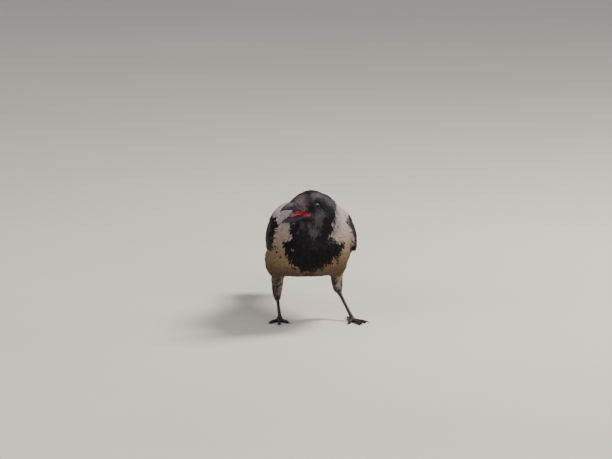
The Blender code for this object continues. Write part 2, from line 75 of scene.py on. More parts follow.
# %% [markdown]
# Every place is counted from the bird itself. Its body has a middle plane, halfway between the wings, and
# the bend of the wing gives a zero along its length. The head is turned, so it has axes of its own: left
# runs from eye to eye, and forward is the line to the tip of the bill, tipped up by the angle at which
# the bill droops.

# %% The body's axes and the head's axes
WING_BEND_AHEAD = 42        # mm from the zero of the body forward to the bend of the wing
BILL_DROOP = math.radians(12.2)

left_low, left_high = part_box("wing_left")
right_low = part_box("wing_right")[0]
ZERO = Vector(((left_high.x + right_low.x) / 2, left_low.y + WING_BEND_AHEAD * MM, 0))


def body_place(across, back, up):
    """A place in metres, from millimetres to the bird's left, back and up."""
    return ZERO + Vector((across, back, up)) * MM


def centre_of(node):
    low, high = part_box(node)
    return (low + high) / 2


eye_centres = {side: centre_of(f"eye_{side}") for side in ("left", "right")}
EYES_MIDDLE = (eye_centres["left"] + eye_centres["right"]) / 2
LEFTWARD = (eye_centres["left"] - eye_centres["right"]).normalized()
bill_tip = max((v.co for v in nodes["bill_upper"].data.vertices), key=lambda co: (co - EYES_MIDDLE).length)
to_tip = bill_tip - EYES_MIDDLE
to_tip = (to_tip - LEFTWARD * to_tip.dot(LEFTWARD)).normalized()
FORWARD = Matrix.Rotation(-BILL_DROOP, 3, LEFTWARD) @ to_tip
UPWARD = FORWARD.cross(LEFTWARD)
if UPWARD.z < 0.5 or FORWARD.z < to_tip.z:
    raise SystemExit("the head's axes came out upside down")
EYE_TURN = math.radians(12)     # how far forward of straight out an eye looks
eye_axes = {
    side: LEFTWARD * sign * math.cos(EYE_TURN) + FORWARD * math.sin(EYE_TURN)
    for side, sign in (("left", 1), ("right", -1))
}


def head_place(forward, left, up):
    """A place in metres, from millimetres forward, left and up of the point midway between the eyes."""
    return EYES_MIDDLE + (FORWARD * forward + LEFTWARD * left + UPWARD * up) * MM


def in_body(points):
    """Rows of (left, back, up) in mm for rows of points."""
    return (points - np.array(ZERO)) / MM


def in_head(points):
    """Rows of (forward, left, up) in mm for rows of points."""
    return (points - np.array(EYES_MIDDLE)) @ np.array([FORWARD, LEFTWARD, UPWARD]).T / MM


print("eyes", round((eye_centres["left"] - eye_centres["right"]).length / MM, 1), "mm apart; bill tip at",
      [round(v, 1) for v in in_head(np.array([bill_tip]))[0]])

# %% [markdown]
# The camera stands low in front of the bird, a little to its right, and far off with a long lens: from
# close by, the head would look too big for the rest. The frame is much wider than the bird.

# %% Camera
VIEW_AZIMUTH = math.radians(-5)
VIEW_HEIGHT = math.radians(9)
VIEW_DISTANCE = 10.5
VIEW_WIDTH = 918 * MM       # what the frame takes in at the bird
VIEW_ASIDE = -8.25 * MM     # of the bird's middle, and over the ground, where the middle of the frame points
VIEW_UP = 138.75 * MM

sight = Vector((
    -math.sin(VIEW_AZIMUTH) * math.cos(VIEW_HEIGHT),
    math.cos(VIEW_AZIMUTH) * math.cos(VIEW_HEIGHT),
    -math.sin(VIEW_HEIGHT),
))
sight_right = Vector((math.cos(VIEW_AZIMUTH), math.sin(VIEW_AZIMUTH), 0))
aim = ZERO + sight_right * VIEW_ASIDE + sight_right.cross(sight) * VIEW_UP
bpy.ops.object.select_all(action="DESELECT")
bpy.ops.object.camera_add(location=aim - sight * VIEW_DISTANCE,
                          rotation=sight.to_track_quat("-Z", "Y").to_euler())
camera = bpy.context.object
camera.data.sensor_width = 36
camera.data.lens = 36 * VIEW_DISTANCE / VIEW_WIDTH
camera.data.clip_end = 100
bpy.context.scene.camera = camera
print("lens", round(camera.data.lens), "mm")

# %% [markdown]
# A finish is a small tree of shader nodes, and a few helpers are enough for all of them. One turns a
# colour as it is picked on a screen into the linear numbers that a shader wants, one feeds a node with
# values and links, and one adds a node, sets it and feeds it.

# %% Helpers for finishes


def linear(colour):
    """Linear RGBA from an sRGB hex colour such as #808080."""
    channels = [int(colour[i:i + 2], 16) / 255 for i in (1, 3, 5)]
    return (*[c / 12.92 if c <= 0.04045 else ((c + 0.055) / 1.055) ** 2.4 for c in channels], 1)


def feed(tree, node, inputs):
    """Sets each input of a node to its value, or links it to the socket that is to feed it."""
    for name, value in inputs.items():
        if isinstance(value, bpy.types.NodeSocket):
            tree.links.new(value, node.inputs[name])
        else:
            node.inputs[name].default_value = value


def add_node(tree, kind, inputs=None, stops=(), **settings):
    """A new node. Settings are properties, inputs values or sockets, stops a ramp's places and colours."""
    made = tree.nodes.new(kind)
    for name, value in settings.items():
        setattr(made, name, value)
    if stops:
        elements = made.color_ramp.elements
        while len(elements) < len(stops):
            elements.new(0.5)
        for element, (place, colour) in zip(elements, stops):
            element.position = place
            element.color = linear(colour)
    feed(tree, made, inputs or {})
    return made


def new_finish(name):
    """A material with its tree and its shader."""
    material = bpy.data.materials.new(name)
    material.use_nodes = True
    return material, material.node_tree, material.node_tree.nodes["Principled BSDF"]


print("middle grey is", round(linear("#808080")[0], 3), "in linear numbers")

# %% [markdown]
# The floor is a sheet of pale matt card, large enough to fill the frame behind the bird. It only carries
# a soft shadow, so it stays plain, with a faint grain that keeps it from looking like a void.

# %% Floor
FLOOR_SIZE = 60.0


def card_finish():
    """Matt card: rolled fibre, no gloss, a little lighter and darker in clouds of two thirds of a metre."""
    material, tree, shader = new_finish("pale_card")
    place = add_node(tree, "ShaderNodeTexCoord").outputs["Object"]
    cloud = add_node(tree, "ShaderNodeTexNoise", {"Vector": place, "Scale": 1.5, "Detail": 2}).outputs["Fac"]
    colour = add_node(tree, "ShaderNodeValToRGB", {"Fac": cloud}, stops=[(0.3, "#cfccc4"), (0.7, "#d6d3cc")])
    feed(tree, shader, {"Base Color": colour.outputs["Color"], "Roughness": 0.9})
    return material


bpy.ops.object.select_all(action="DESELECT")
bpy.ops.mesh.primitive_plane_add(size=FLOOR_SIZE, location=(0, 0, 0))
floor = bpy.context.object
floor.name = "floor"
floor.data.materials.append(card_finish())
print("floor", FLOOR_SIZE, "m")

# %% [markdown]
# Three soft boxes and a pale surround: the key stands high at the viewer's right and a little behind the
# bird, so crown and shoulder catch it and the breast lies in soft shade, a broad fill stands at the
# viewer's left, and a weak front light lets the black feathers show their lie.

# %% Lights
SOFT_BOXES = [
    # name, place, width, watts, colour
    ("key", (1.5, 0.35, 2.1), 0.9, 95, "#fff4e6"),
    ("fill", (-1.8, -2.0, 1.2), 1.6, 26, "#ffede0"),
    ("front", (0.5, -2.6, 1.5), 1.3, 30, "#fff6ec"),
]
for title, place, width, watts, colour in SOFT_BOXES:
    towards = Vector((0, 0, 0.12)) - Vector(place)
    bpy.ops.object.light_add(type="AREA", location=place,
                             rotation=towards.to_track_quat("-Z", "Y").to_euler())
    lamp = bpy.context.object
    lamp.name = f"light_{title}"
    lamp.data.size = width
    lamp.data.energy = watts
    lamp.data.color = linear(colour)[:3]
world = bpy.data.worlds.new("surround")
bpy.context.scene.world = world
world.use_nodes = True
feed(world.node_tree, world.node_tree.nodes["Background"], {"Color": linear("#e9ecf2"), "Strength": 0.45})
print("lights", len(SOFT_BOXES))

# %% [markdown]
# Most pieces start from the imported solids. A copy is taken, its loose triangles are welded, and where
# several solids have to become one surface they are swollen by a hair, so that they overlap, and melted
# by a voxel remesh. A CAD solid itself is never touched.

# %% Helpers for pieces


SWELL = 0.2 * MM            # by which solids are swollen so that neighbours overlap and melt


def pick(*pieces):
    """Selects these pieces and no others, with the first as the active one."""
    bpy.ops.object.select_all(action="DESELECT")
    for piece in pieces:
        piece.select_set(True)
    bpy.context.view_layer.objects.active = pieces[0]


def join_into(piece, other):
    pick(piece, other)
    bpy.ops.object.join()


def copy_of(title, *names):
    """One welded mesh object from copies of the named solids."""
    pick(*(nodes[name] for name in names))
    bpy.ops.object.duplicate()
    if len(names) > 1:
        bpy.ops.object.join()
    piece = bpy.context.object
    piece.name = title
    piece.parent = None
    for key in list(piece.keys()):
        del piece[key]
    piece.data.materials.clear()
    bpy.ops.object.mode_set(mode="EDIT")
    bpy.ops.mesh.select_all(action="SELECT")
    bpy.ops.mesh.remove_doubles(threshold=0.00001)
    bpy.ops.object.mode_set(mode="OBJECT")
    return piece


def finish_modifier(piece, kind, **settings):
    """Adds a modifier with its settings and applies it."""
    modifier = piece.modifiers.new(kind.lower(), kind)
    for name, value in settings.items():
        setattr(modifier, name, value)
    pick(piece)
    bpy.ops.object.modifier_apply(modifier=modifier.name)


def refine(piece, voxel, smoothing):
    """Rebuilds a piece as a closed skin of small even faces and softens it."""
    finish_modifier(piece, "REMESH", mode="VOXEL", voxel_size=voxel)
    finish_modifier(piece, "SMOOTH", factor=0.5, iterations=smoothing)


def melt(piece, voxel, smoothing):
    """One closed skin over all that the piece holds."""
    finish_modifier(piece, "DISPLACE", strength=SWELL, mid_level=0)
    refine(piece, voxel, smoothing)
    finish_modifier(piece, "DISPLACE", strength=-SWELL, mid_level=0)


print("pieces are swollen by", SWELL / MM, "mm before they melt into one")

# %% [markdown]
# Much of the bird is shaped with arrays of points, so these few helpers read and write a mesh as rows of x,
# y, z, give its corners numbers for a shader to read, and give the finished piece its material and its body.

# %% Helpers for points


def points_of(piece):
    flat = np.empty(len(piece.data.vertices) * 3)
    piece.data.vertices.foreach_get("co", flat)
    return flat.reshape(-1, 3)


def normals_of(piece):
    flat = np.empty(len(piece.data.vertices) * 3, np.float32)
    piece.data.vertex_normals.foreach_get("vector", flat)
    return flat.reshape(-1, 3).astype(float)


def move_points(piece, points):
    piece.data.vertices.foreach_set("co", points.astype(np.float32).ravel())
    piece.data.update()


def add_attributes(piece, **attributes):
    """Numbers at each vertex that a shader can read: one for all vertices, or one for each."""
    for name, values in attributes.items():
        numbers = np.empty(len(piece.data.vertices), np.float32)
        numbers[:] = np.ravel(values)
        piece.data.attributes.new(name, "FLOAT", "POINT").data.foreach_set("value", numbers)


def triangles_of(piece):
    return sum(len(face.vertices) - 2 for face in piece.data.polygons)


def settle(piece, slot, material, *replaced):
    """Gives a finished piece its material and its body, and hides the solids that it stands for. The slot is
    not used.
    """
    piece.data.materials.clear()
    piece.data.materials.append(material)
    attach(piece, "root")
    if replaced:
        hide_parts(*replaced)
    print(piece.name, triangles_of(piece), "triangles")


def smooth_step(values, low, high):
    """0 below low and 1 above high, with a soft rise between them."""
    share = np.clip((values - low) / (high - low), 0, 1)
    return share * share * (3 - 2 * share)


print("vertices in a wing's solid:", len(points_of(nodes["wing_left"])))

# %% [markdown]
# ## The form that the feathers lie on
# The solids of trunk, neck, head and thighs have the outline of the feathered bird. The small feathers
# need one smooth surface to lie on, that also runs up over the wings and the tail's root, because the
# shoulder feathers hang over the wing's edge. The wings are swollen first by the thickness that their own
# quills will have.

# %% The coat's outer form
FLESH = ("trunk", "neck", "head", "thigh_left", "thigh_right")
QUILLS_THICKNESS = 2.3 * MM
FORM_VOXEL = 1.3 * MM


class Surface:
    """A mesh that can be asked for the nearest point on it, with a soft normal there."""

    def __init__(self, piece):
        self.points = points_of(piece)
        self.faces = [tuple(face.vertices) for face in piece.data.polygons]
        normals = normals_of(piece)
        self.normals = np.array([normals[list(face)].mean(0) for face in self.faces])
        self.normals /= np.linalg.norm(self.normals, axis=1)[:, None] + 1e-9
        self.tree = BVHTree.FromPolygons(self.points.tolist(), self.faces)

    def nearest(self, places):
        """The nearest points on the mesh and the normals there, for an array whose last axis is x, y, z."""
        rows = places.reshape(-1, 3)
        hits = [self.tree.find_nearest(row) for row in rows.tolist()]
        found = np.array([tuple(hit[0]) for hit in hits])
        index = [hit[2] for hit in hits]
        return found.reshape(places.shape), self.normals[index].reshape(places.shape)

    def distances(self, places):
        return np.array([self.tree.find_nearest(row)[3] for row in places.tolist()])


form = copy_of("coat_form", *FLESH, "tail")
wing_copy = copy_of("wing_form", "wing_left", "wing_right")
wing_form = Surface(wing_copy)
finish_modifier(wing_copy, "DISPLACE", strength=QUILLS_THICKNESS, mid_level=0)
join_into(form, wing_copy)
melt(form, FORM_VOXEL, 9)
coat_form = Surface(form)
print("coat form:", len(coat_form.faces), "faces")

# %% [markdown]
# ## How the feathers lie
# On a real bird every feather tract has its own direction, length and width: tiny on the face, long and
# broad on the back. One could comb them by hand. Here each tract is one row of a table, with a place, the
# direction of its lie and its sizes, and every other place blends the rows by how near they are. Rows off
# the middle plane count for both sides.

# %% Feather tracts
# name, place, lie, then in mm: length, width, spacing, depth of the coat, reach of the row; how lance-shaped
BODY_TRACTS = [  # left, back, up
    ("mantle", (0, -18, 188), (0, 1, -0.02), 19, 9.0, 5.2, 3.2, 35, 0.15),
    ("back", (0, 35, 186), (0, 1, -0.2), 23, 11, 6.2, 3.6, 35, 0.1),
    ("rump", (0, 85, 168), (0, 1, -0.5), 25, 11, 6.0, 3.6, 30, 0.1),
    ("tail coverts above", (0, 135, 143), (0, 1, -0.35), 34, 12, 6.2, 2.6, 25, 0.15),
    ("scapulars", (42, 5, 174), (0.12, 1, -0.3), 28, 12, 6.6, 3.2, 30, 0.05),
    ("shoulder", (46, -42, 158), (0.2, 0.85, -0.4), 16, 7.5, 4.6, 3.0, 25, 0.2),
    ("bend of the wing", (54, -46, 130), (0.1, 0.75, -0.65), 14, 7.0, 4.2, 3.0, 22, 0.2),
    ("side of the breast", (40, -72, 122), (0.3, 0.35, -0.9), 16, 6.8, 4.2, 3.2, 25, 0.3),
    ("breast", (0, -91, 125), (0, 0.05, -1), 17, 6.4, 4.0, 3.2, 28, 0.4),
    ("lower breast", (0, -78, 90), (0, 0.45, -0.8), 18, 7.2, 4.5, 3.4, 25, 0.35),
    ("belly", (0, -20, 70), (0, 1, -0.1), 22, 8.8, 5.6, 3.4, 35, 0.3),
    ("side of the belly", (40, -10, 78), (0, 0.95, -0.25), 22, 8.8, 5.4, 3.4, 30, 0.3),
    ("flank", (60, 10, 104), (0, 0.93, -0.35), 24, 9.5, 5.6, 3.4, 30, 0.25),
    ("vent", (0, 80, 82), (0, 1, 0.3), 24, 9.5, 5.8, 3.4, 30, 0.3),
    ("tail coverts below", (0, 135, 108), (0, 1, 0.05), 30, 11, 6.2, 2.4, 25, 0.3),
    ("back of the neck", (0, -38, 190), (0, 0.9, -0.1), 14, 5.6, 3.5, 2.6, 18, 0.35),
    ("side of the neck", (36, -62, 166), (0.1, 0.45, -0.9), 14, 5.0, 3.2, 2.6, 18, 0.55),
    ("base of the throat", (0, -97, 160), (0, 0, -1), 18, 4.6, 3.0, 2.6, 20, 0.85),
    ("thigh", (38, 26, 60), (0.05, 0.45, -0.9), 12, 4.6, 2.9, 1.3, 14, 0.5),
    ("trousers", (44, 40, 38), (0.05, -0.2, -1), 8, 3.2, 2.1, 0.9, 12, 0.5),
]
HEAD_TRACTS = [  # forward, left, up
    ("forehead", (20, 0, 14), (-1, 0, 0.35), 4.6, 1.9, 1.35, 0.8, 7, 0.3),
    ("crown", (2, 0, 23), (-1, 0, 0), 6.5, 2.6, 1.75, 1.0, 12, 0.25),
    ("back of the crown", (-20, 0, 19), (-0.8, 0, -0.6), 9, 3.5, 2.3, 1.5, 12, 0.25),
    ("nape", (-33, 0, 2), (-0.2, 0, -1), 12, 4.8, 3.1, 2.0, 14, 0.3),
    ("lores", (12, 12, -2), (-1, 0.2, -0.15), 3.4, 1.3, 1.0, 0.6, 6, 0.6),
    ("brow", (0, 17, 7), (-1, 0, 0.1), 3.2, 1.4, 1.0, 0.6, 5, 0.35),
    ("under the eye", (0, 18, -8), (-1, 0, -0.35), 3.2, 1.4, 1.0, 0.6, 5, 0.35),
    ("malar stripe", (8, 14, -16), (-1, 0.1, -0.45), 5.5, 1.8, 1.3, 0.8, 8, 0.6),
    ("ear coverts", (-12, 21, -7), (-0.9, 0.1, -0.5), 8.5, 2.5, 1.75, 1.1, 10, 0.6),
    ("side of the nape", (-24, 17, 0), (-0.6, 0, -0.8), 10, 3.6, 2.4, 1.6, 10, 0.4),
    ("chin", (10, 0, -25), (-1, 0, -0.35), 6, 1.8, 1.35, 0.8, 9, 0.7),
    ("throat", (-6, 0, -29), (-0.5, 0, -0.9), 13, 3.0, 2.1, 1.6, 12, 0.95),
    ("corner of the jaw", (-6, 17, -20), (-0.6, 0.1, -0.8), 9, 2.6, 1.8, 1.2, 9, 0.75),
]
print("tracts in the table:", len(BODY_TRACTS) + len(HEAD_TRACTS))

# %% [markdown]
# The rows become arrays once, in metres and in the directions of the world. Any place on the bird then
# takes a blend of them, weighted by how near each row is, a few thousand places at a time to save memory.

# %% Reading the tracts
HEAD_AXES = np.array([FORWARD, LEFTWARD, UPWARD])
LENGTH, WIDTH, SPACING, DEPTH, REACH, LANCE = range(6)
AT_ONCE = 9000              # places that are blended in one go


def tract_rows():
    """The table in metres and world directions, with the rows off the middle plane mirrored."""
    places, lies, sizes = [], [], []
    for tracts, side_at, axes, place_of in (
        (BODY_TRACTS, 0, np.eye(3), body_place), (HEAD_TRACTS, 1, HEAD_AXES, head_place),
    ):
        for _, place, lie, *numbers in tracts:
            for side in ((1, -1) if place[side_at] else (1,)):
                flip = np.ones(3)
                flip[side_at] = side
                places.append(tuple(place_of(*(np.array(place) * flip))))
                lies.append((np.array(lie) * flip) @ axes)
                sizes.append([*(np.array(numbers[:5]) * MM), numbers[5]])
    return np.array(places), np.array(lies), np.array(sizes)


TRACT_PLACES, TRACT_LIES, TRACT_SIZES = tract_rows()


def weights_at(points):
    """The share of each row of the table at some places, from how near it is."""
    gaps = np.linalg.norm(points[:, None] - TRACT_PLACES[None], axis=2) / TRACT_SIZES[:, REACH]
    weights = (1 + gaps ** 2) ** -3
    return weights / weights.sum(1)[:, None]


def blend(table, points):
    """What a table of the tracts says at some places."""
    parts = np.array_split(points, 1 + len(points) // AT_ONCE)
    return np.concatenate([weights_at(part) @ table for part in parts])


def sizes_at(points):
    """Length, width, spacing, depth, reach and lance shape of the feathers at some places."""
    return blend(TRACT_SIZES, points)


print("tracts on both sides:", len(TRACT_PLACES))

# %% [markdown]
# Round the eyes the feathers part, so the lie that the tracts give is led straight away from an eye close
# by. In the end the lie is laid flat on the surface, by taking away what points along its normal.

# %% The lie of the feathers
EYE_FLOW = (1.3, 4.5, 2.5)  # how strongly an eye turns feathers away, strongest at what mm, and over how many


def from_eye(points):
    """Distance in mm from the nearer eye's axis, and the direction straight away from that axis."""
    best = np.full(len(points), 1e3)
    away = np.zeros((len(points), 3))
    for side, centre in eye_centres.items():
        offset = points - np.array(centre)
        axis = np.array(eye_axes[side])
        outward = offset @ axis
        flat = offset - outward[:, None] * axis
        reach = np.linalg.norm(flat, axis=1) / MM + 1e-6
        near = (outward > -2 * MM) & (outward < 12 * MM) & (reach < best)
        best[near] = reach[near]
        away[near] = flat[near] / (reach[near, None] * MM)
    return best, away


def lie_at(points, normals):
    """The direction in which feathers point at some places: the tracts' lie, led round the eyes."""
    lie = blend(TRACT_LIES, points)
    reach, away = from_eye(points)
    strength, nearest, spread = EYE_FLOW
    lie += away * (strength * np.exp(-((reach - nearest) / spread) ** 2))[:, None]
    lie -= normals * (lie * normals).sum(1)[:, None]
    return lie / (np.linalg.norm(lie, axis=1)[:, None] + 1e-9)


over_back = np.array([body_place(0, 35, 190)])
print("lie on the back:", np.round(lie_at(over_back, np.array([[0, 0, 1.0]]))[0], 2))

# %% [markdown]
# ## The markings
# Black runs over the whole head down to a slanting line round the base of the neck, and on down the
# breast as a bib that widens over the crop and ends in a ragged edge. The tail coverts and the small
# feathers over the bend of the wing are black too. One function says how far inside the black a place is,
# and skin and feathers both ask it, so they agree.

# %% Where the bird is black
BIB_EDGE = [  # height, then across to its edge on the bird's right and on its left, all in mm
    (88, -14, -6), (91.5, -26, 3), (96, -29, 9), (100, -33, 20), (104, -40, 24), (112, -42, 32),
    (118, -46, 38), (124, -48, 43), (130, -47, 41), (135, -41, 30), (139, -39, 20), (145, -38, 22),
    (156, -37, 25), (175, -36, 29),
]
COLLAR_PLACE = (-60, 166)   # back and up of a point on the slanting line
COLLAR_SLOPE = (-0.67, 0.74)
# On the left of the neck, which the turned head stretches, the hood ends further forward: height, back in mm
HOOD_LEFT = [
    (132, -85), (149, -82), (165, -83), (172, -81), (179, -77), (186, -75), (195, -70), (205, -60),
    (215, -45),
]
STRETCHED = (12, 24)        # mm to the left: between these that line takes over
# Where the grey shoulder ends and the black coverts of the wing begin: height, back in mm
WING_LINE = [
    (114, -46), (123, -41), (131, -38), (137, -36), (143, -33), (149, -30), (154, -25), (159, -10), (161, 5),
    (164, 30), (166, 52), (168, 76), (169, 400),
]
# In front, the feathers of the breast's right side lap over the wing up to here: height, mm out
RIGHT_EDGE = [(105, 68), (114, 64), (133, 58), (152, 50), (165, 42)]
LAPPED_FRONT = -15          # mm back: they do so before this
MANTLE_WIDE, MANTLE_END = 34, 80    # mm out and back: on the wings' upper edges the grey runs on to here
RUMP_WIDE, RUMP_END = 9, 118    # mm out and back: between the wings it runs on to here
FAR = 400                   # mm, past the end of the bird
BIB_BACK = -38              # mm back: the bib ends before this
RAGGED = 2.6                # mm that its edge wanders in and out
TAIL_TOP = 125              # mm up
TAIL_BLACK = (128, 150)     # mm back, from where the tail is black above that height, and below it
BEND_PART = (38, 25, 113)   # mm out, back and up: the bend of the wing is further out, before and above these
NOWHERE = -50               # mm inside the black, for places that a marking doesn't reach
print("the bib reaches down to", BIB_EDGE[0][0], "mm over the ground")

# %% [markdown]
# Each marking is a distance in millimetres, more than nothing on its own side of its line, and a place is
# as far inside the black as the largest of them says.

# %% How far inside the black


def past_wing_line(points):
    """Millimetres behind the line at which the shoulder's grey ends on the wing."""
    across, back, up = in_body(points).T
    line = np.interp(up, *zip(*WING_LINE))
    line = np.where(np.abs(across) < MANTLE_WIDE, np.maximum(line, MANTLE_END), line)
    past = back - np.where((np.abs(across) < RUMP_WIDE) & (back < RUMP_END), FAR, line)
    lapped = -across - np.interp(up, *zip(*RIGHT_EDGE))
    return np.where((across < 0) & (back < LAPPED_FRONT), np.minimum(past, lapped), past)


def past_collar(back, up, place):
    """Millimetres ahead of and above a line with the collar's slope through a place."""
    return COLLAR_SLOPE[0] * (back - place[0]) + COLLAR_SLOPE[1] * (up - place[1])


def inside_black(points):
    """Millimetres inside the edge of the black markings, negative on the grey."""
    across, back, up = in_body(points).T
    collar = past_collar(back, up, COLLAR_PLACE)
    collar += smooth_step(across, *STRETCHED) * (np.interp(up, *zip(*HOOD_LEFT)) - back - collar)
    heights, rights, lefts = zip(*BIB_EDGE)
    bib = np.minimum(across - np.interp(up, heights, rights), np.interp(up, heights, lefts) - across)
    # Two sets of waves 15 mm long, which cross
    bib += RAGGED * (np.sin(across * 0.42 + up * 0.11) + 0.6 * np.sin(across * 0.21 - up * 0.37 + 2))
    bib = np.minimum(bib, BIB_BACK - back)
    tail = back - np.where(up > TAIL_TOP, *TAIL_BLACK)
    out, behind, above = BEND_PART
    wing = np.where((np.abs(across) > out) & (back < behind) & (up > above), past_wing_line(points), NOWHERE)
    return np.maximum.reduce([collar, bib, tail, wing])


print("black at the throat:", round(float(inside_black(np.array([body_place(0, -97, 160)]))[0]), 1), "mm in")

# %% [markdown]
# ## One vane, many times
# A small feather is a vane: a narrow root, an oval blade arched over its shaft, and an end that breaks
# into barbs. It is laid out once as a pattern of rows and columns with a row of teeth, closed by a flat
# underside, and then bent to its place thousands of times, all in arrays, which is far quicker than one
# object each.

# %% The pattern of a vane


class Vane:
    """Rows and columns of a blade whose end breaks into teeth, and the triangles that close it underneath."""

    def __init__(self, rows, columns, tip_start):
        self.rows, self.columns = rows, columns
        self.levels = np.linspace(0.13, tip_start, rows)
        across = np.linspace(-1, 1, columns)
        self.teeth = 1 + rows * columns + np.arange(columns - 1)
        self.notches = self.teeth[-1] + 1 + np.arange(columns - 2)
        self.under = self.notches[-1] + 1 + np.arange(rows)
        self.middles = np.array([self.at(row, columns // 2) for row in range(rows)])
        between = (across[1:] + across[:-1]) / 2
        self.across = np.concatenate([[0], np.tile(across, rows), between, across[1:-1], np.zeros(rows)])
        self.along = np.concatenate([
            [0], np.repeat(self.levels, columns), np.ones(columns - 1), np.full(columns - 2, tip_start),
            self.levels,
        ])
        self.triangles = np.array(self.top() + self.underside())

    def at(self, row, column):
        return 1 + row * self.columns + column

    def top(self):
        last, right = self.rows - 1, self.columns - 1
        made = [(0, self.at(0, c), self.at(0, c + 1)) for c in range(right)]
        for row in range(last):
            for c in range(right):
                a, b = self.at(row, c), self.at(row, c + 1)
                d, e = self.at(row + 1, c), self.at(row + 1, c + 1)
                made += [(a, d, e), (a, e, b)]
        made += [(self.at(last, c), self.teeth[c], self.at(last, c + 1)) for c in range(right)]
        for c, notch in enumerate(self.notches, start=1):
            made += [(self.at(last, c), self.teeth[c - 1], notch), (self.at(last, c), notch, self.teeth[c])]
        return made

    def underside(self):
        last, right, under = self.rows - 1, self.columns - 1, self.under
        made = [(0, under[0], self.at(0, 0)), (0, self.at(0, right), under[0])]
        for row in range(last):
            a, b, c = self.at(row, 0), under[row], self.at(row, right)
            d, e, f = self.at(row + 1, 0), under[row + 1], self.at(row + 1, right)
            made += [(a, b, e), (a, e, d), (b, c, f), (b, f, e)]
        edge = [self.at(last, 0), self.teeth[0]]
        for notch, tooth in zip(self.notches, self.teeth[1:]):
            edge += [notch, tooth]
        edge += [self.at(last, right)]
        return made + [(under[last], after, before) for before, after in zip(edge, edge[1:])]

    def break_tip(self, places, lengths, normals, thickness):
        """Draws the teeth back by uneven amounts, sets the notches between them and the underside below."""
        last = places[:, [self.at(self.rows - 1, c) for c in range(self.columns)]]
        middle = (last[:, 1:] + last[:, :-1]) / 2
        places[:, self.teeth] = middle + (places[:, self.teeth] - middle) * lengths[..., None]
        tips = places[:, self.teeth]
        places[:, self.notches] = last[:, 1:-1] * 0.7 + (tips[:, 1:] + tips[:, :-1]) * 0.15
        places[:, self.under] = places[:, self.middles] - normals * thickness


body_vane = Vane(rows=4, columns=9, tip_start=0.78)
face_vane = Vane(rows=3, columns=3, tip_start=0.72)
print("triangles in a body vane:", len(body_vane.triangles), "and in a face vane:", len(face_vane.triangles))

# %% [markdown]
# A mesh can be filled from arrays in one go, which is the fast way to thousands of vanes. Each vane
# carries three numbers for the shader, black or ash, dark or pale, cool or warm, and two maps: one in
# which the barbs are drawn and one that says where the vane lies when its colours are baked.

# %% Many vanes as one mesh
FULL_BARBS = 22 * MM        # vanes shorter than this have their barbs drawn closer


def blade_width(along, lance):
    """Half width of a blade, as a share of its greatest, between an oval (lance 0) and a lance (1)."""
    oval = np.minimum(1, along / 0.38) ** 0.7 * np.sqrt(1 - (np.maximum(along - 0.55, 0) / 0.52) ** 2)
    pointed = np.minimum(1, along / 0.3) ** 0.7 * (1 - 0.85 * np.maximum(along - 0.3, 0) / 0.7)
    return oval * (1 - lance) + pointed * lance


def build_vanes(title, pattern, places, length, half_width, looks, patches):
    """One mesh of many vanes.

    Places are vane, corner, xyz. Length and half width are in metres, one for each vane or one for all.
    Looks are what the shader reads, for each vane, for each corner or for all. Patches are where each vane
    bakes: their middles and their sizes.
    """
    count, corners = places.shape[:2]
    triangles = (pattern.triangles[None] + (np.arange(count) * corners)[:, None, None]).reshape(-1, 3)
    mesh = bpy.data.meshes.new(title)
    mesh.vertices.add(count * corners)
    mesh.vertices.foreach_set("co", places.astype(np.float32).ravel())
    mesh.loops.add(triangles.size)
    mesh.loops.foreach_set("vertex_index", triangles.astype(np.int32).ravel())
    mesh.polygons.add(len(triangles))
    mesh.polygons.foreach_set("loop_start", np.arange(0, triangles.size, 3, dtype=np.int32))
    mesh.update(calc_edges=True)
    piece = bpy.data.objects.new(title, mesh)
    bpy.context.scene.collection.objects.link(piece)
    add_attributes(piece, **{
        name: np.repeat(values, corners) if np.ndim(values) == 1 else values for name, values in looks.items()
    })
    length, half_width = (np.broadcast_to(size, count)[:, None] for size in (length, half_width))
    finer = np.clip(length / FULL_BARBS, 0.35, 1)[..., None]
    barbs = np.stack([np.abs(half_width * pattern.across), length * pattern.along], 2) / finer / (10 * MM)
    middles, sizes = patches
    baked = middles[:, None] + np.stack([pattern.across / 2, pattern.along - 0.5], 1)[None] * sizes[:, None]
    for layer, corner_uv in (("vane", barbs), ("OFBake", baked)):
        spread_uv = corner_uv.reshape(-1, 2)[triangles.ravel()]
        mesh.uv_layers.new(name=layer).data.foreach_set("uv", spread_uv.astype(np.float32).ravel())
    mesh.shade_smooth()
    mesh.set_sharp_from_angle(angle=math.radians(70))
    return piece


print("width of an oval vane near its tip:", round(float(blade_width(0.9, 0)), 2), "of its greatest")

# %% [markdown]
# ## Scattering the roots
# Feathers stand in even rows, never on top of each other. Points are thrown at the form at random, more
# densely where the tracts ask for a closer coat, and a point that falls nearer to an earlier one than its
# spacing is dropped.

# %% Throwing and thinning out
THROWS = 220000
CLOSENESS = 0.62            # how much nearer than the tracts' spacing two roots may stand


def throw_points(piece, count):
    """Random places on a piece, as dense everywhere as the tracts' spacing asks."""
    faces = np.array([tri.vertices[:] for tri in triangles_loop(piece)])
    corners = points_of(piece)[faces]
    sides = np.cross(corners[:, 1] - corners[:, 0], corners[:, 2] - corners[:, 0])
    area = np.linalg.norm(sides, axis=1) / 2
    wanted = area / sizes_at(corners.mean(1))[:, SPACING] ** 2
    picked = chance.choice(len(faces), count, p=wanted / wanted.sum())
    first, second = chance.random((2, count))
    over = first + second > 1
    first[over], second[over] = 1 - first[over], 1 - second[over]
    a, b, c = corners[picked].transpose(1, 0, 2)
    return a + (b - a) * first[:, None] + (c - a) * second[:, None]


def triangles_loop(piece):
    piece.data.calc_loop_triangles()
    return piece.data.loop_triangles


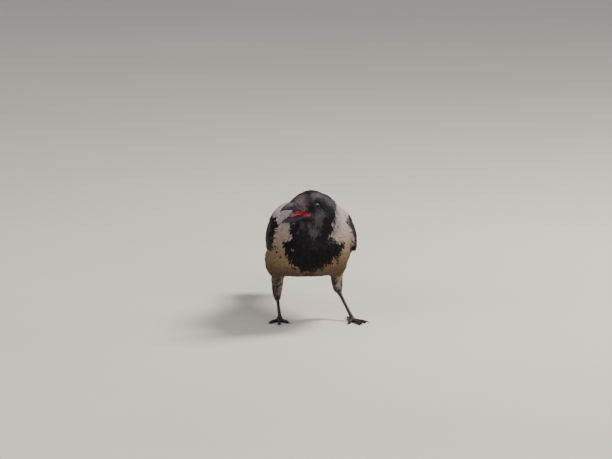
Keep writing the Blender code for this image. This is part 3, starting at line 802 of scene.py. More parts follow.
def thin_out(points, spacing):
    """Of points in random order, those that keep their spacing from every one kept before."""
    tree = KDTree(len(points))
    for index, point in enumerate(points.tolist()):
        tree.insert(point, index)
    tree.balance()
    free = np.ones(len(points), bool)
    kept = []
    for index, point in enumerate(points.tolist()):
        if free[index]:
            kept.append(index)
            for _, other, _ in tree.find_range(point, spacing[index]):
                free[other] = False
    return np.array(kept)


roots = throw_points(form, THROWS)
roots = roots[thin_out(roots, sizes_at(roots)[:, SPACING] * CLOSENESS)]
print("places for feathers:", len(roots))

# %% [markdown]
# The mouth is a little open, and what lies inside it has to be known: no feather grows there, and the
# skin there is red. It is described by two lines that part from the corner of the mouth, the roof level
# with the upper jaw and the floor turned down about the hinge of the lower one.

# %% The open mouth
HINGE = (-5.5, -11.5)       # of the jaw, forward and up of the eyes, in mm
JAW_OPEN = math.radians(14)
ROOF = 1.4                  # mm of the roof over the hinge
GAPE_FORWARD = 8.7          # mm ahead of the eyes to the corner of the mouth
GAPE_ROUND = 2.2            # mm over which the corner opens


def gape_heights(forward):
    """Upper and lower edge of the open mouth at some places along the head, both in mm."""
    roof = HINGE[1] + ROOF
    floor = roof - (forward - HINGE[0]) * math.tan(JAW_OPEN)
    share = 1 - np.exp(-np.maximum(forward - GAPE_FORWARD, 0) / GAPE_ROUND)
    middle = (roof + floor) / 2
    return middle + (roof - middle) * share, middle - (middle - floor) * share


def mouth_gaps(points):
    """Millimetres below the roof, above the floor and ahead of the corner of the open mouth."""
    forward, _, up = in_head(points).T
    roof, floor = gape_heights(np.maximum(forward, GAPE_FORWARD))
    return np.array([roof - up, up - floor, forward - GAPE_FORWARD])


def mouth_wall(points, normals, reach):
    """1 on the walls of the open mouth, which face each other, 0 on the cheeks, which face outward."""
    facing = 1 - smooth_step(np.abs(normals @ np.array(LEFTWARD)), 0.5, 0.75)
    return facing * smooth_step(mouth_gaps(points).min(0), -reach, -reach / 2)


print("the jaw is", round(math.degrees(JAW_OPEN)), "degrees open")

# %% [markdown]
# No feather grows in the mouth, under the bill or over the eye, or where the wing's own quills show: the
# feathers of shoulder and breast cover the wing's upper edge and its bend. Where the bristles of the nose
# begin, the small feathers of the face stop at an uneven edge.

# %% Roots
EYE_CLEARANCE = 4.8         # mm from the axis of the eye, inside which no feather grows
WING_MARGIN = 1.2 * MM      # nearer than this to the wing is on the wing
PAST_LINE = 5               # mm behind the shoulder's edge at which the last of its feathers root on the wing
BILL_MARGIN = 0.7 * MM
LIP_MARGIN, LIP_REACH = 0.7, 3.5    # mm round the mouth that are bare, and in which its walls are looked for
BRISTLES_START = 10.5       # mm ahead of the eyes, where the feathers part: bristles lie forward from here
BRISTLES_LOW = -6.5         # mm up of the eyes, below which the small feathers of the cheek go on
TAIL_ROOTS_END = 137        # mm back, where the tail's coverts end
NOSE_VOXEL = 0.8 * MM

bill_form = Surface(copy_of("bill_form", "bill_upper", "bill_lower", "nasal_bristles"))
nose = copy_of("nose_form", "head", "nasal_bristles", "bill_upper")
melt(nose, NOSE_VOXEL, 5)
nose_form = Surface(nose)
bpy.data.objects.remove(nose)
across, back, up = in_body(roots).T
clear = (wing_form.distances(roots) > QUILLS_THICKNESS + WING_MARGIN) | (past_wing_line(roots) < PAST_LINE)
clear |= np.abs(across) < RUMP_WIDE
clear &= bill_form.distances(roots) > BILL_MARGIN
clear &= (mouth_gaps(roots).min(0) < -LIP_MARGIN) & (from_eye(roots)[0] > EYE_CLEARANCE)
clear &= mouth_wall(*coat_form.nearest(roots), LIP_REACH) < 0.3
forward, _, high = in_head(roots).T
clear &= (forward < BRISTLES_START + 1 + chance.normal(0, 0.8, len(roots))) | (high < BRISTLES_LOW)
clear &= back < TAIL_ROOTS_END
roots = roots[clear]
bpy.data.objects.remove(bpy.data.objects["bill_form"])
print("roots:", len(roots))

# %% [markdown]
# ## Feather finishes
# A feather is matt keratin: its barbs lie side by side like the threads of a cloth, slanting out from the
# shaft, and break up the light. Black ones are structured so that the gloss comes back violet and blue.
# Grey ones have a darker shaft, a cool pinkish ash above, and a darker warm brown below, which is partly
# their own colour and partly painted shade and painted warm light from the ground. Real barbs stand a third
# of a millimetre apart, too fine to show, so they are drawn 0.9 mm apart.

# %% Plumage finish
BARB_SPACING = 0.9          # mm, three times the real one
ASH_ROUGHNESS = 0.85
# The lower stops are darker and browner: partly the feathers' own brown, partly painted shade and painted
# warm light from the ground.
ASH_ABOVE, ASH_WARM, ASH_BELOW, ASH_LOWEST = "#a99ea1", "#8d7b6c", "#74624d", "#574938"
# The palest black is a painted sheen, for black feathers that catch the light.
BLACK_DEEP, BLACK_WORN, BLACK_PAINTED_SHEEN = "#08070a", "#151213", "#524f53"


def plumage_finish(name, gloss, mirror, tint):
    """Vanes of barbs, drawn as fine slanting ridges, black or ash by the marking."""
    material, tree, shader = new_finish(name)
    hood, tone_and_sheen, warmth = (
        add_node(tree, "ShaderNodeAttribute", attribute_name=mark).outputs["Fac"]
        for mark in ("hood", "tone_and_sheen", "warmth")
    )
    vane = add_node(tree, "ShaderNodeUVMap", uv_map="vane").outputs["UV"]
    halves = add_node(tree, "ShaderNodeSeparateXYZ", {"Vector": vane}).outputs
    slant = add_node(tree, "ShaderNodeMath", {0: halves["X"], 1: -0.9, 2: halves["Y"]},
                     operation="MULTIPLY_ADD")
    line = add_node(tree, "ShaderNodeCombineXYZ", {"X": slant.outputs["Value"], "Y": tone_and_sheen})
    # The vane's map is in centimetres
    barbs = add_node(tree, "ShaderNodeTexWave", {
        "Vector": line.outputs["Vector"], "Scale": math.tau / 20 / (BARB_SPACING / 10),
        "Distortion": 1.2, "Detail": 2.0, "Detail Scale": 3.0,
    }, bands_direction="X").outputs["Fac"]
    ash = add_node(tree, "ShaderNodeValToRGB", {"Fac": warmth}, stops=[
        (0.0, ASH_ABOVE), (0.5, ASH_WARM), (0.88, ASH_BELOW), (1.0, ASH_LOWEST),
    ]).outputs["Color"]
    # An ash feather is paler or darker by its tone, and darker along its shaft and between its barbs
    by_tone = add_node(tree, "ShaderNodeMapRange", {"Value": tone_and_sheen, "To Min": 0.78, "To Max": 1.14})
    by_shaft = add_node(tree, "ShaderNodeMapRange", {
        "Value": halves["X"], "From Min": 0.015, "From Max": 0.10, "To Min": 0.58, "To Max": 1.0,
    })
    by_barbs = add_node(tree, "ShaderNodeMapRange", {"Value": barbs, "To Min": 0.9, "To Max": 1.06})
    for share in (by_tone, by_shaft, by_barbs):
        shade = add_node(tree, "ShaderNodeVectorMath", {0: ash, "Scale": share.outputs["Result"]},
                         operation="SCALE")
        ash = shade.outputs["Vector"]
    # Black runs from deep to worn by a random tone, and up to the painted sheen for the palest feathers.
    black = add_node(tree, "ShaderNodeValToRGB", {"Fac": tone_and_sheen},
                     stops=[(0.15, BLACK_DEEP), (0.8, BLACK_WORN), (1.0, BLACK_PAINTED_SHEEN)]).outputs["Color"]
    colour = add_node(tree, "ShaderNodeMix", {"Factor": hood, "A": ash, "B": black}, data_type="RGBA")
    rough = add_node(tree, "ShaderNodeMapRange", {"Value": hood, "To Min": ASH_ROUGHNESS, "To Max": gloss})
    ridge = add_node(tree, "ShaderNodeBump", {"Height": barbs, "Strength": 0.25, "Distance": 0.0002})
    feed(tree, shader, {
        "Base Color": colour.outputs["Result"], "Roughness": rough.outputs["Result"],
        "Normal": ridge.outputs["Normal"], "Specular IOR Level": mirror, "Specular Tint": linear(tint),
        "Sheen Weight": 0.02, "Sheen Tint": linear("#c4bfcb"),
    })
    return material


soft_plumage = plumage_finish("contour_feathers", 0.55, 0.14, "#dddbe8")
glossy_plumage = plumage_finish("glossy_feathers", 0.45, 0.24, "#d0ceea")
stiff_plumage = plumage_finish("flight_feathers", 0.6, 0.12, "#d4d3ee")
print("plumage finish:", len(soft_plumage.node_tree.nodes), "nodes")

# %% [markdown]
# ## Planting the coat
# What a feather looks like depends on where it stands. The ash is cool on the back and darker and brown on
# the belly, partly its own colour and partly painted shade and painted warm light from the ground. The black
# has a painted sheen on cheeks and throat, made by feathers that are paler than their neighbours. Each also
# gets its own small patch of the map that is baked, by an unwrap of the whole bird.

# %% What a place gives to a feather
ASH_COOL, ASH_BROWN = 178, 82   # mm up: all cool above, all brown below, the brown partly painted shade
# Where the black gets a painted sheen: forward, out and up on the head, radius in mm, strength
PAINTED_SHEENS = [
    ((3, 13, 15), 8, 0.7), ((-3, 19, -15), 9, 0.9), ((-10, 20, -12), 9, 0.85), ((-8, 17, -24), 9, 0.75),
    ((0, 6, -30), 8, 0.7), ((-8, 10, -40), 9, 0.9),
]
PATCH = 0.003               # side of a small feather's patch, as a share of the map


def warmth_at(points):
    """0 on the cool ash of back and shoulders, 1 on the darker brown of belly and flanks, partly their own
    colour and partly painted shade.
    """
    _, back, up = in_body(points).T
    return 1 - smooth_step(up + 0.05 * np.maximum(-back - 40, 0), ASH_BROWN, ASH_COOL)


def tone_and_sheen_at(points):
    """One number for each feather, 0 dark to 1 pale: random, and higher where the black gets its painted
    sheen.
    """
    forward, left, up = in_head(points).T
    painted_sheen = np.zeros(len(points))
    for (ahead, out, above), radius, strength in PAINTED_SHEENS:
        gap = np.linalg.norm([forward - ahead, np.abs(left) - out, up - above], axis=0)
        painted_sheen = np.maximum(painted_sheen, strength * np.exp(-(gap / radius) ** 2))
    pale = 0.8 + 0.2 * np.clip(painted_sheen * chance.uniform(0.45, 1.2, len(points)), 0, 1)
    return np.where(chance.random(len(points)) < 1.8 * painted_sheen, pale, 0.8 * chance.random(len(points)))


def small_patches(points, tract):
    """Middles and sizes of patches, on an unwrap of the skin round the long axis of its part and along it."""
    across, back, up = in_body(points).T
    # In mm: where the axis of each part runs, where it starts and how long it is
    if tract == "head":
        along, left, high = in_head(points).T
        turn, reach = np.arctan2(left, high + 4), (along + 45) / 80
    elif tract.startswith("thigh"):
        turn, reach = np.arctan2(across - np.sign(across) * 43, back - 32), up / 110
    else:
        turn, reach = np.arctan2(across, up - 125), (back + 110) / 290
    middles = np.stack([0.01 + 0.98 * (turn / math.tau + 0.5), np.clip(0.01 + 0.98 * reach, 0.01, 0.99)], 1)
    return middles, np.full((len(points), 2), PATCH)


print("warmth of the mantle:", round(float(warmth_at(np.array([body_place(0, -18, 188)]))[0]), 2))

# %% [markdown]
# From each root the shaft is walked along the lie, step by step over the form, and the blade is spread on
# both sides of it. The root starts as deep as the coat is thick and the tip ends on the form, so each
# feather slips over the next ones behind it like a roof tile.

# %% Laying the vanes
VANE_THICKNESS = 0.12 * MM
RUFFLED = (-0.05, 0.26)     # of the coat's depth, by which tips lie under or over the form
ARCH = 0.07                 # of the half width, by which a vane's sides hang down


def lay_vanes(pattern, origins):
    """Corners of feathers bent over the coat's form, and where each shows, its length and its half width."""
    count = len(origins)
    sizes = sizes_at(origins)
    vary = chance.uniform(0.85, 1.15, (count, 2))
    length, half_width = sizes[:, LENGTH] * vary[:, 0], sizes[:, WIDTH] * vary[:, 1] / 2
    length *= smooth_step(from_eye(origins)[0], 2.0, 11.0) * 0.6 + 0.4
    sway = chance.normal(0, 0.10, count)
    lift = sizes[:, DEPTH]
    ruffle = chance.uniform(*RUFFLED, count) * lift
    levels = np.unique(pattern.along)
    spine, asides = [], []
    here, normal = coat_form.nearest(origins)
    for step, level in enumerate(levels):
        ahead = lie_at(here, normal)
        aside = np.cross(normal, ahead)
        ahead = ahead + aside * sway[:, None]
        spine.append(here)
        asides.append(aside)
        if step + 1 < len(levels):
            stride = (levels[step + 1] - level) * length
            here, normal = coat_form.nearest(here + ahead * stride[:, None])
    places = np.empty((count, len(pattern.along), 3))
    outward = np.empty_like(places)
    for step, level in enumerate(levels):
        corners = np.flatnonzero(pattern.along == level)
        width = half_width[:, None] * blade_width(level, sizes[:, LANCE])[:, None]
        offset = asides[step][:, None] * (width * pattern.across[corners])[..., None]
        flat, outward[:, corners] = coat_form.nearest(spine[step][:, None] + offset)
        arch = ARCH * width * pattern.across[corners] ** 2
        rise = -lift[:, None] * (1 - level) ** 0.8 + ruffle[:, None] * level - arch
        places[:, corners] = flat + outward[:, corners] * rise[..., None]
    rounding = 0.5 * pattern.across[pattern.teeth] ** 2
    lengths = 1 - rounding - chance.uniform(0, 0.35, (count, len(pattern.teeth)))
    pattern.break_tip(places, lengths, outward[:, pattern.under], VANE_THICKNESS)
    return places, spine[-2], length, half_width


print("levels in a vane of the body:", len(np.unique(body_vane.along)))

# %% [markdown]
# A feather is black or ash by where its blade shows, and one that stands at the edge of the markings is black
# along its shaft and ash at its sides, as on the real bird. A few black ones stray into the grey of the
# breast. On the thighs black and ash feathers mix, and extra black on the side to the bird's right is painted
# shade, on the side away from the key light.

# %% Black or ash
STREAK = 4.5                # mm of edge over which feathers are black only along their shafts
EDGE_SPREAD = 2.2           # mm by which the edge differs from feather to feather
STRAYS, STRAYS_REACH = 0.16, -9     # share of strays, and mm inside the black where they begin, so outside it
STRAYS_BACK, STRAYS_TOP = -40, 126  # mm: they stand ahead of and below these


def looks_of(pattern, origins, shown, tract):
    """What the shader reads of feathers, from where they are rooted and where they show."""
    count = len(origins)
    edge = inside_black(shown) + chance.normal(0, EDGE_SPREAD, count)
    stray = (edge > STRAYS_REACH) & (chance.random(count) < STRAYS) & (in_body(origins)[:, 1] < STRAYS_BACK)
    stray &= in_body(shown)[:, 2] < STRAYS_TOP
    edge = np.where(stray, np.maximum(edge, 1), edge)
    warmth = warmth_at(shown)
    on_thigh = tract.startswith("thigh")
    if on_thigh:
        across, _, up = in_body(shown).T
        middle = np.polyval(np.polyfit(up, across, 1), up)
        # more black towards the bird's right: painted shade on the side away from the key light
        edge = chance.uniform(-7, 1.6, count) + 7 * smooth_step(middle - across, -3, 4)
        warmth = np.interp(up, [58, 78], [0.15, 0.75]) + chance.uniform(0, 0.2, count)
    hood = smooth_step(edge[:, None] + STREAK * (0.5 - np.abs(pattern.across)), -1, 1)
    if on_thigh:
        hood *= chance.uniform(0.6, 1.0, (count, 1))
    return {"hood": hood, "tone_and_sheen": tone_and_sheen_at(shown), "warmth": warmth}


print("a grey feather may be black", -STRAYS_REACH, "mm past the edge")

# %% [markdown]
# The coat is planted in parts, one mesh for each, so that every part can have its own finish: the head with
# the finer vane, head and neck glossy, and the rest soft. The coat's form has then done its work.

# %% The coat
NECK_PLACE = (-60, 162)     # back and up of a point on the slanting line between neck and breast, in mm
BREAST_TOP, BREAST_BACK = 118, -45  # mm up and back: the back lies over and behind these
BELLY_TOP, BELLY_FRONT = 100, -74
HEAD_BEHIND, HEAD_REACH = -34, 46   # mm ahead of the eyes, and from between them
THIGH_TOP = 66              # mm up, for the thighs all round
THIGH_SIDE = (77, 45, 15, -30)      # and at their sides: mm up, across to their middle, half width, back


def tract_of(points):
    """The part of the coat that each root belongs to."""
    across, back, up = in_body(points).T
    names = np.full(len(points), "back", dtype=object)
    names[(up < BREAST_TOP) | (back < BREAST_BACK)] = "breast"
    names[(up < BELLY_TOP) & (back > BELLY_FRONT)] = "belly"
    on_neck = past_collar(back, up, NECK_PLACE) > 0
    names[on_neck] = "neck"
    near_eyes = np.linalg.norm(in_head(points), axis=1) < HEAD_REACH
    names[on_neck & near_eyes & (in_head(points)[:, 0] > HEAD_BEHIND)] = "head"
    top, middle, wide, front = THIGH_SIDE
    thigh = (up < THIGH_TOP) | ((up < top) & (np.abs(np.abs(across) - middle) < wide) & (back > front))
    names[thigh & (across > 0)] = "thigh_left"
    names[thigh & (across < 0)] = "thigh_right"
    return names


tracts = tract_of(roots)
for tract in ("head", "neck", "breast", "belly", "back", "thigh_left", "thigh_right"):
    pattern = face_vane if tract == "head" else body_vane
    origins = roots[tracts == tract]
    places, shown, length, half_width = lay_vanes(pattern, origins)
    looks = looks_of(pattern, origins, shown, tract)
    patches = small_patches(origins, tract)
    coat = build_vanes(f"plumage_{tract}", pattern, places, length, half_width, looks, patches)
    slot = "grey_plumage" if tract in ("breast", "belly", "back") else "black_plumage"
    settle(coat, slot, glossy_plumage if tract in ("head", "neck") else soft_plumage)
bpy.data.objects.remove(form)

# %% [markdown]
# ## The skin
# Under the feathers is one skin from the bill to the knees. It is the same flesh melted into a closed
# surface and drawn in by the depth of the coat, except round the eyes and the mouth, where it is bare. It
# carries the same markings as the coat, so nothing shines through between two feathers, and the mouth is
# lined in red. The lids come first: a rim of two soft folds, spun about the eye's axis from one line of
# points.

# %% Lids
EYE_RADIUS = 5.7 * MM
LID_STEPS = 56
# From the lids' rim outward: degrees from the eye's axis, distance from its middle in mm, paleness
LIDS = [
    (46, 5.72, 0.2), (46.3, 5.92, 0.7), (47.2, 6.03, 0.9), (48.6, 6.04, 0.6), (50.5, 5.93, 0.15),
    (53, 5.91, 0.1), (55.5, 5.98, 0.4), (58, 5.95, 0.1), (62, 5.9, 0.0), (70, 5.85, 0.0), (90, 5.7, 0.0),
]


def lids(side):
    """Both lids as one soft rim round what shows of the eyeball, drawn out a little at its two corners."""
    profile = bpy.data.meshes.new("lids")
    angles, reaches, paleness = np.array(LIDS).T
    angles = np.radians(angles)
    points = np.stack([np.sin(angles) * reaches, 0 * reaches, np.cos(angles) * reaches], 1) * MM
    profile.from_pydata(points.tolist(), [(k, k + 1) for k in range(len(LIDS) - 1)], [])
    ring = bpy.data.objects.new("lids", profile)
    bpy.context.scene.collection.objects.link(ring)
    add_attributes(ring, lid=paleness)
    finish_modifier(ring, "SCREW", axis="Z", steps=LID_STEPS, render_steps=LID_STEPS,
                    use_merge_vertices=True, merge_threshold=1e-5)
    around = points_of(ring)
    axis = np.array(eye_axes[side])
    front = np.array(FORWARD) - axis * (np.array(FORWARD) @ axis)
    front /= np.linalg.norm(front)
    corner = np.abs(around[:, 0]) / (np.linalg.norm(around[:, :2], axis=1) + 1e-9)
    near_rim = smooth_step(around[:, 2] / MM, 2.5, 4.6)
    around[:, 0] *= 1 + 0.10 * corner ** 10 * near_rim
    around[:, 1] *= 1 - 0.06 * near_rim
    turned = around @ np.array([front, np.cross(axis, front), axis])
    move_points(ring, turned + np.array(eye_centres[side]))
    ring.data.shade_smooth()
    add_attributes(ring, hood=1.0, warmth=0.0, mouth=0.0)
    return ring


print("the lids bare", 2 * LIDS[0][0], "degrees of the eye")

# %% [markdown]
# The skin itself is drawn in along its normals by the depth of the coat. The walls of the mouth stay
# where they are and are then pushed back a little, to make room for the lining, and round the eyes the
# skin is sunk under the lids.

# %% Skin
SKIN_VOXEL = 1.25 * MM
MOUTH_ROOM = 1.5 * MM
WALL_REACH = 1.8            # mm round the mouth in which its walls are looked for
KNEE_DARK = 74              # mm up: below this the skin of the thighs darkens
EYE_CORE = EYE_RADIUS - 0.6 * MM    # of the ball that closes the skin behind an eye

skin = copy_of("skin", *FLESH)
for side in ("left", "right"):
    bpy.ops.mesh.primitive_uv_sphere_add(radius=EYE_CORE, location=eye_centres[side])
    join_into(skin, bpy.context.object)
melt(skin, SKIN_VOXEL, 4)
surface = points_of(skin)
depth = sizes_at(surface)[:, DEPTH] + 0.3 * MM
lining = mouth_wall(surface, normals_of(skin), WALL_REACH)
bare = np.maximum(lining, 1 - smooth_step(bill_form.distances(surface) / MM, 0.6, 3))
move_points(skin, surface - normals_of(skin) * (depth * (1 - bare))[:, None])
surface = points_of(skin)
wall = mouth_gaps(surface).argmin(0)
surface += (lining * MOUTH_ROOM)[:, None] * np.array([UPWARD, -UPWARD, -FORWARD])[wall]
reach, _ = from_eye(surface)
for side, centre in eye_centres.items():
    outward = (surface - np.array(centre)) @ np.array(eye_axes[side])
    allowed = (3.0 + 3.0 * smooth_step(reach, 5.2, 7.0)) * MM
    sunk = np.where((reach < 7) & (outward > 0) & (outward < 9 * MM), np.maximum(outward - allowed, 0), 0)
    surface -= sunk[:, None] * np.array(eye_axes[side])
move_points(skin, surface)
thigh = smooth_step(KNEE_DARK - in_body(surface)[:, 2], 0, 8)
add_attributes(
    skin, hood=np.maximum(smooth_step(inside_black(surface), -1, 1), 0.75 * thigh),
    warmth=warmth_at(surface) * (1 - 0.7 * thigh), mouth=lining, lid=0.0,
)
skin.data.shade_smooth()
for side in ("left", "right"):
    join_into(skin, lids(side))
print("skin with lids:", len(skin.data.vertices), "vertices")

# %% [markdown]
# One finish serves the whole skin: three layers of colour are laid over the ash, each where its own
# number on the mesh asks for it, which keeps the borders between them soft.

# %% Skin finish


def skin_finish():
    """Thin dull skin with down on it: black or ash like the coat, wet red in the mouth, grey on the lids."""
    material, tree, shader = new_finish("skin_and_down")
    hood, warmth, mouth, lid = (
        add_node(tree, "ShaderNodeAttribute", attribute_name=mark).outputs["Fac"]
        for mark in ("hood", "warmth", "mouth", "lid")
    )
    place = add_node(tree, "ShaderNodeTexCoord").outputs["Object"]
    # Down a millimetre across
    down = add_node(
        tree, "ShaderNodeTexNoise", {"Vector": place, "Scale": 900.0, "Detail": 3.0},
    ).outputs["Fac"]
    # The skin's ash turns darker and brown lower down, like the coat's: partly its own colour, partly painted
    # shade.
    ash = add_node(tree, "ShaderNodeValToRGB", {"Fac": warmth},
                   stops=[(0.0, "#80777a"), (0.5, "#6f6153"), (1.0, "#54432f")])
    flesh = add_node(tree, "ShaderNodeValToRGB", {"Fac": down}, stops=[(0.3, "#8f2437"), (0.7, "#c2485a")])
    colour = ash.outputs["Color"]
    for share, over in ((hood, linear("#0d0c10")), (mouth, flesh.outputs["Color"]), (lid, linear("#4f4647"))):
        mix = add_node(tree, "ShaderNodeMix", {"Factor": share, "A": colour, "B": over}, data_type="RGBA")
        colour = mix.outputs["Result"]
    wet = add_node(tree, "ShaderNodeMapRange", {"Value": mouth, "To Min": 0.8, "To Max": 0.28})
    relief = add_node(tree, "ShaderNodeBump", {"Height": down, "Strength": 0.25, "Distance": 0.0003})
    feed(tree, shader, {
        "Base Color": colour, "Roughness": wet.outputs["Result"], "Normal": relief.outputs["Normal"],
    })
    return material


settle(skin, "black_plumage", skin_finish(), *FLESH)

# %% [markdown]
# ## The folded wing
# A folded crow's wing is a fan shut like a hand of cards: the primaries lowest and longest, the
# secondaries and the three broad tertials over them, and their bases roofed by rows of coverts that get
# smaller towards the bend. Each feather could be placed by hand. Here the outside of the wing's solid is
# first measured as a sheet, with one number that runs back from the bend and another that runs from its
# lower edge to its upper edge, and every feather is laid on that sheet by the numbers of its two ends.

# %% The wing as a sheet
SHEET_LEVEL = 115           # mm over the ground of the axis that the wing is measured round
SHEET_BACKS = np.linspace(-41, 251, 60)
SHEET_SHARES = np.linspace(0, 1, 15)


class Sheet:
    """The outside of one folded wing, read at (mm back, share from the lower to the upper edge)."""

    def __init__(self, side):
        self.sign = 1 if side == "left" else -1
        piece = nodes[f"wing_{side}"]
        piece.data.calc_loop_triangles()
        points = points_of(piece)
        tree = BVHTree.FromPolygons(points.tolist(), [tri.vertices[:] for tri in piece.data.loop_triangles])
        across, back, up = in_body(points).T
        angles = np.arctan2(up - SHEET_LEVEL, across * self.sign)
        lowest, highest = [], []
        for place in SHEET_BACKS:
            near = angles[np.abs(back - place) < 9]
            lowest.append(near.min())
            highest.append(near.max())
        self.grid = np.empty((len(SHEET_BACKS), len(SHEET_SHARES), 3))
        for i, place in enumerate(SHEET_BACKS):
            axis = np.array(body_place(0, place, SHEET_LEVEL))
            for j, share in enumerate(SHEET_SHARES):
                angle = lowest[i] + (highest[i] - lowest[i]) * (0.04 + 0.92 * share)
                outward = np.array([math.cos(angle) * self.sign, 0, math.sin(angle)])
                hit = tree.ray_cast(Vector(axis + outward * 0.2), Vector(-outward))[0]
                self.grid[i, j] = tuple(hit or tree.find_nearest(axis + outward * 0.06)[0])
        for _ in range(3):
            self.grid[1:-1] = (self.grid[:-2] + 2 * self.grid[1:-1] + self.grid[2:]) / 4

    def read(self, back, share):
        """Places on the sheet, run on straight past its edges."""
        row = (back - SHEET_BACKS[0]) / (SHEET_BACKS[1] - SHEET_BACKS[0])
        column = share * (len(SHEET_SHARES) - 1)
        i = np.clip(row.astype(int), 0, len(SHEET_BACKS) - 2)
        j = np.clip(column.astype(int), 0, len(SHEET_SHARES) - 2)
        u, v = (row - i)[..., None], (column - j)[..., None]
        grid = self.grid
        return (grid[i, j] * (1 - u) * (1 - v) + grid[i + 1, j] * u * (1 - v)
                + grid[i, j + 1] * (1 - u) * v + grid[i + 1, j + 1] * u * v)

    def place(self, back, share, lift):
        """Places lifted off the sheet, and the height of the sheet there in metres from edge to edge."""
        here = self.read(back, share)
        ahead = self.read(back + 2, share) - self.read(back - 2, share)
        upward = self.read(back, share + 0.05) - self.read(back, share - 0.05)
        outward = np.cross(ahead, upward) * self.sign
        outward /= np.linalg.norm(outward, axis=-1)[..., None] + 1e-12
        return here + outward * lift[..., None], np.linalg.norm(upward, axis=-1) * 10


sheets = {side: Sheet(side) for side in ("left", "right")}
print("wing sheet:", sheets["left"].grid.shape)

# %% [markdown]
# The feathers of the wing go in rows, and each row is one line of a table: how many, where the first and
# last begin and end, how wide they are and how high the row lies over the others. Coverts are short
# vanes, the flight feathers are long stiff ones whose lower vane is narrow and lies over the next feather
# down. All are black.

# %% Rows of the wing
flight_vane = Vane(rows=15, columns=7, tip_start=0.95)
UNDER_COAT = 2.5 * MM       # how far the wing's feathers sink where the shoulder covers them
SHOWN_PAST = 6              # mm behind the shoulder's edge: a covert that ends before this is left out
# name, number, first (back, share) of root and of tip, last of root and of tip, half width in mm, lift in mm
WING_ROWS = [
    ("primaries", 11, (40, 0.03), (253, 0.35), (66, 0.60), (168, 0.93), 7.0, -0.1),
    ("secondaries", 7, (10, 0.22), (104, 0.36), (14, 0.66), (138, 0.80), 8.5, 0.25),
    ("tertials", 4, (20, 0.68), (146, 0.74), (20, 0.97), (124, 1.0), 10.5, 0.6),
    ("primary_coverts", 6, (-18, 0.03), (58, 0.05), (-16, 0.20), (52, 0.26), 5.5, 0.5),
    ("alula", 3, (-34, 0.05), (12, 0.05), (-34, 0.16), (4, 0.20), 4.5, 0.95),
    ("greater_coverts", 9, (-12, 0.22), (42, 0.28), (-2, 0.92), (54, 0.92), 7.0, 0.85),
    ("median_coverts", 9, (-22, 0.20), (20, 0.26), (-10, 0.94), (30, 0.94), 6.5, 1.05),
    ("lesser_coverts_1", 9, (-30, 0.14), (4, 0.18), (-18, 0.96), (17, 0.96), 6.0, 1.2),
    ("lesser_coverts_2", 8, (-38, 0.12), (-10, 0.14), (-26, 0.96), (5, 0.96), 5.5, 1.3),
    ("lesser_coverts_3", 7, (-44, 0.10), (-22, 0.12), (-34, 0.94), (-8, 0.95), 5.0, 1.4),
]
print("feathers in the table of a wing:", sum(row[1] for row in WING_ROWS))

# %% [markdown]
# A row is laid in arrays: roots and tips are spread between its first and last feather, each shaft is drawn
# straight on the sheet, and its vane is turned a little, so that it lies over the next one like a roof tile.
# Wings and tail are black all over, and one function makes each mesh of such quills and gives it its finish
# and its body.

# %% Wings


def wing_row(side, row, count, first_root, first_tip, last_root, last_tip, half_width, lift):
    """Corners, lengths and half widths of the vanes in one row of the wing, without the hidden ones."""
    sheet = sheets[side]
    order = np.linspace(0, 1, count)[:, None]
    root = np.array(first_root) * (1 - order) + np.array(last_root) * order
    tip = np.array(first_tip) * (1 - order) + np.array(last_tip) * order
    if row == "primaries":
        tip[:, 0] = last_tip[0] + (first_tip[0] - last_tip[0]) * np.sqrt(1 - order[:, 0] ** 1.5)
    tip[:, 0] += chance.uniform(-1.5, 1.5, count)
    along, across = flight_vane.along, flight_vane.across
    back = root[:, :1] + (tip[:, :1] - root[:, :1]) * along
    share = root[:, 1:] + (tip[:, 1:] - root[:, 1:]) * along
    width = half_width * MM * blade_width(along, 0.0)
    height = sheet.place(back, share, np.zeros_like(back))[1]
    narrow = np.where(across < 0, 0.75, 1.15)
    tilt = 0.42 * MM * across
    arch = 0.25 * MM * across ** 2
    rise = lift * MM - (tilt + arch)[None] * np.ones_like(back) - 0.3 * MM * (1 - along)
    step = across * narrow * width / np.maximum(height, 4 * MM)
    flat = past_wing_line(sheet.read(back, share + step).reshape(-1, 3)).reshape(back.shape)
    rise -= UNDER_COAT * (1 - smooth_step(flat, -5, 5))
    places = sheet.place(back, share + step, rise)[0]
    under = flight_vane.under
    normals = sheet.place(back[:, under], share[:, under], np.full(under.shape, 1.0))[0]
    normals -= sheet.read(back[:, under], share[:, under])
    teeth = across[flight_vane.teeth]
    lengths = 1 - 0.6 * teeth ** 2 - chance.uniform(0, 0.15, (count, len(teeth)))
    flight_vane.break_tip(places, lengths, normals, VANE_THICKNESS)
    ends = places[:, flight_vane.teeth].mean(1)
    shown = (past_wing_line(ends) > SHOWN_PAST) & (np.abs(in_body(ends)[:, 0]) > RUMP_WIDE)
    return places[shown], (tip[shown, 0] - root[shown, 0]) * MM, np.full(shown.sum(), half_width * MM)


def build_quills(title, places, length, half_width, turned):
    """One mesh of long black feathers, each with a strip of the baked map, turned over if need be."""
    count = len(places)
    looks = {"hood": 1.0, "tone_and_sheen": chance.uniform(0.1, 0.9, count), "warmth": 0.0}
    wide = 0.98 / count
    middles = np.stack([0.01 + wide * (np.arange(count) + 0.5), np.full(count, 0.5)], 1)
    patches = middles, np.tile([0.8 * wide, 0.9], (count, 1))
    quills = build_vanes(title, flight_vane, places, length, half_width, looks, patches)
    if turned:
        quills.data.flip_normals()
    settle(quills, "black_plumage", stiff_plumage)


for side in ("left", "right"):
    rows = [wing_row(side, *row) for row in WING_ROWS]
    places, lengths, half_widths = (np.concatenate(column) for column in zip(*rows))
    build_quills(f"wing_feathers_{side}", places, lengths, half_widths, turned=side == "right")

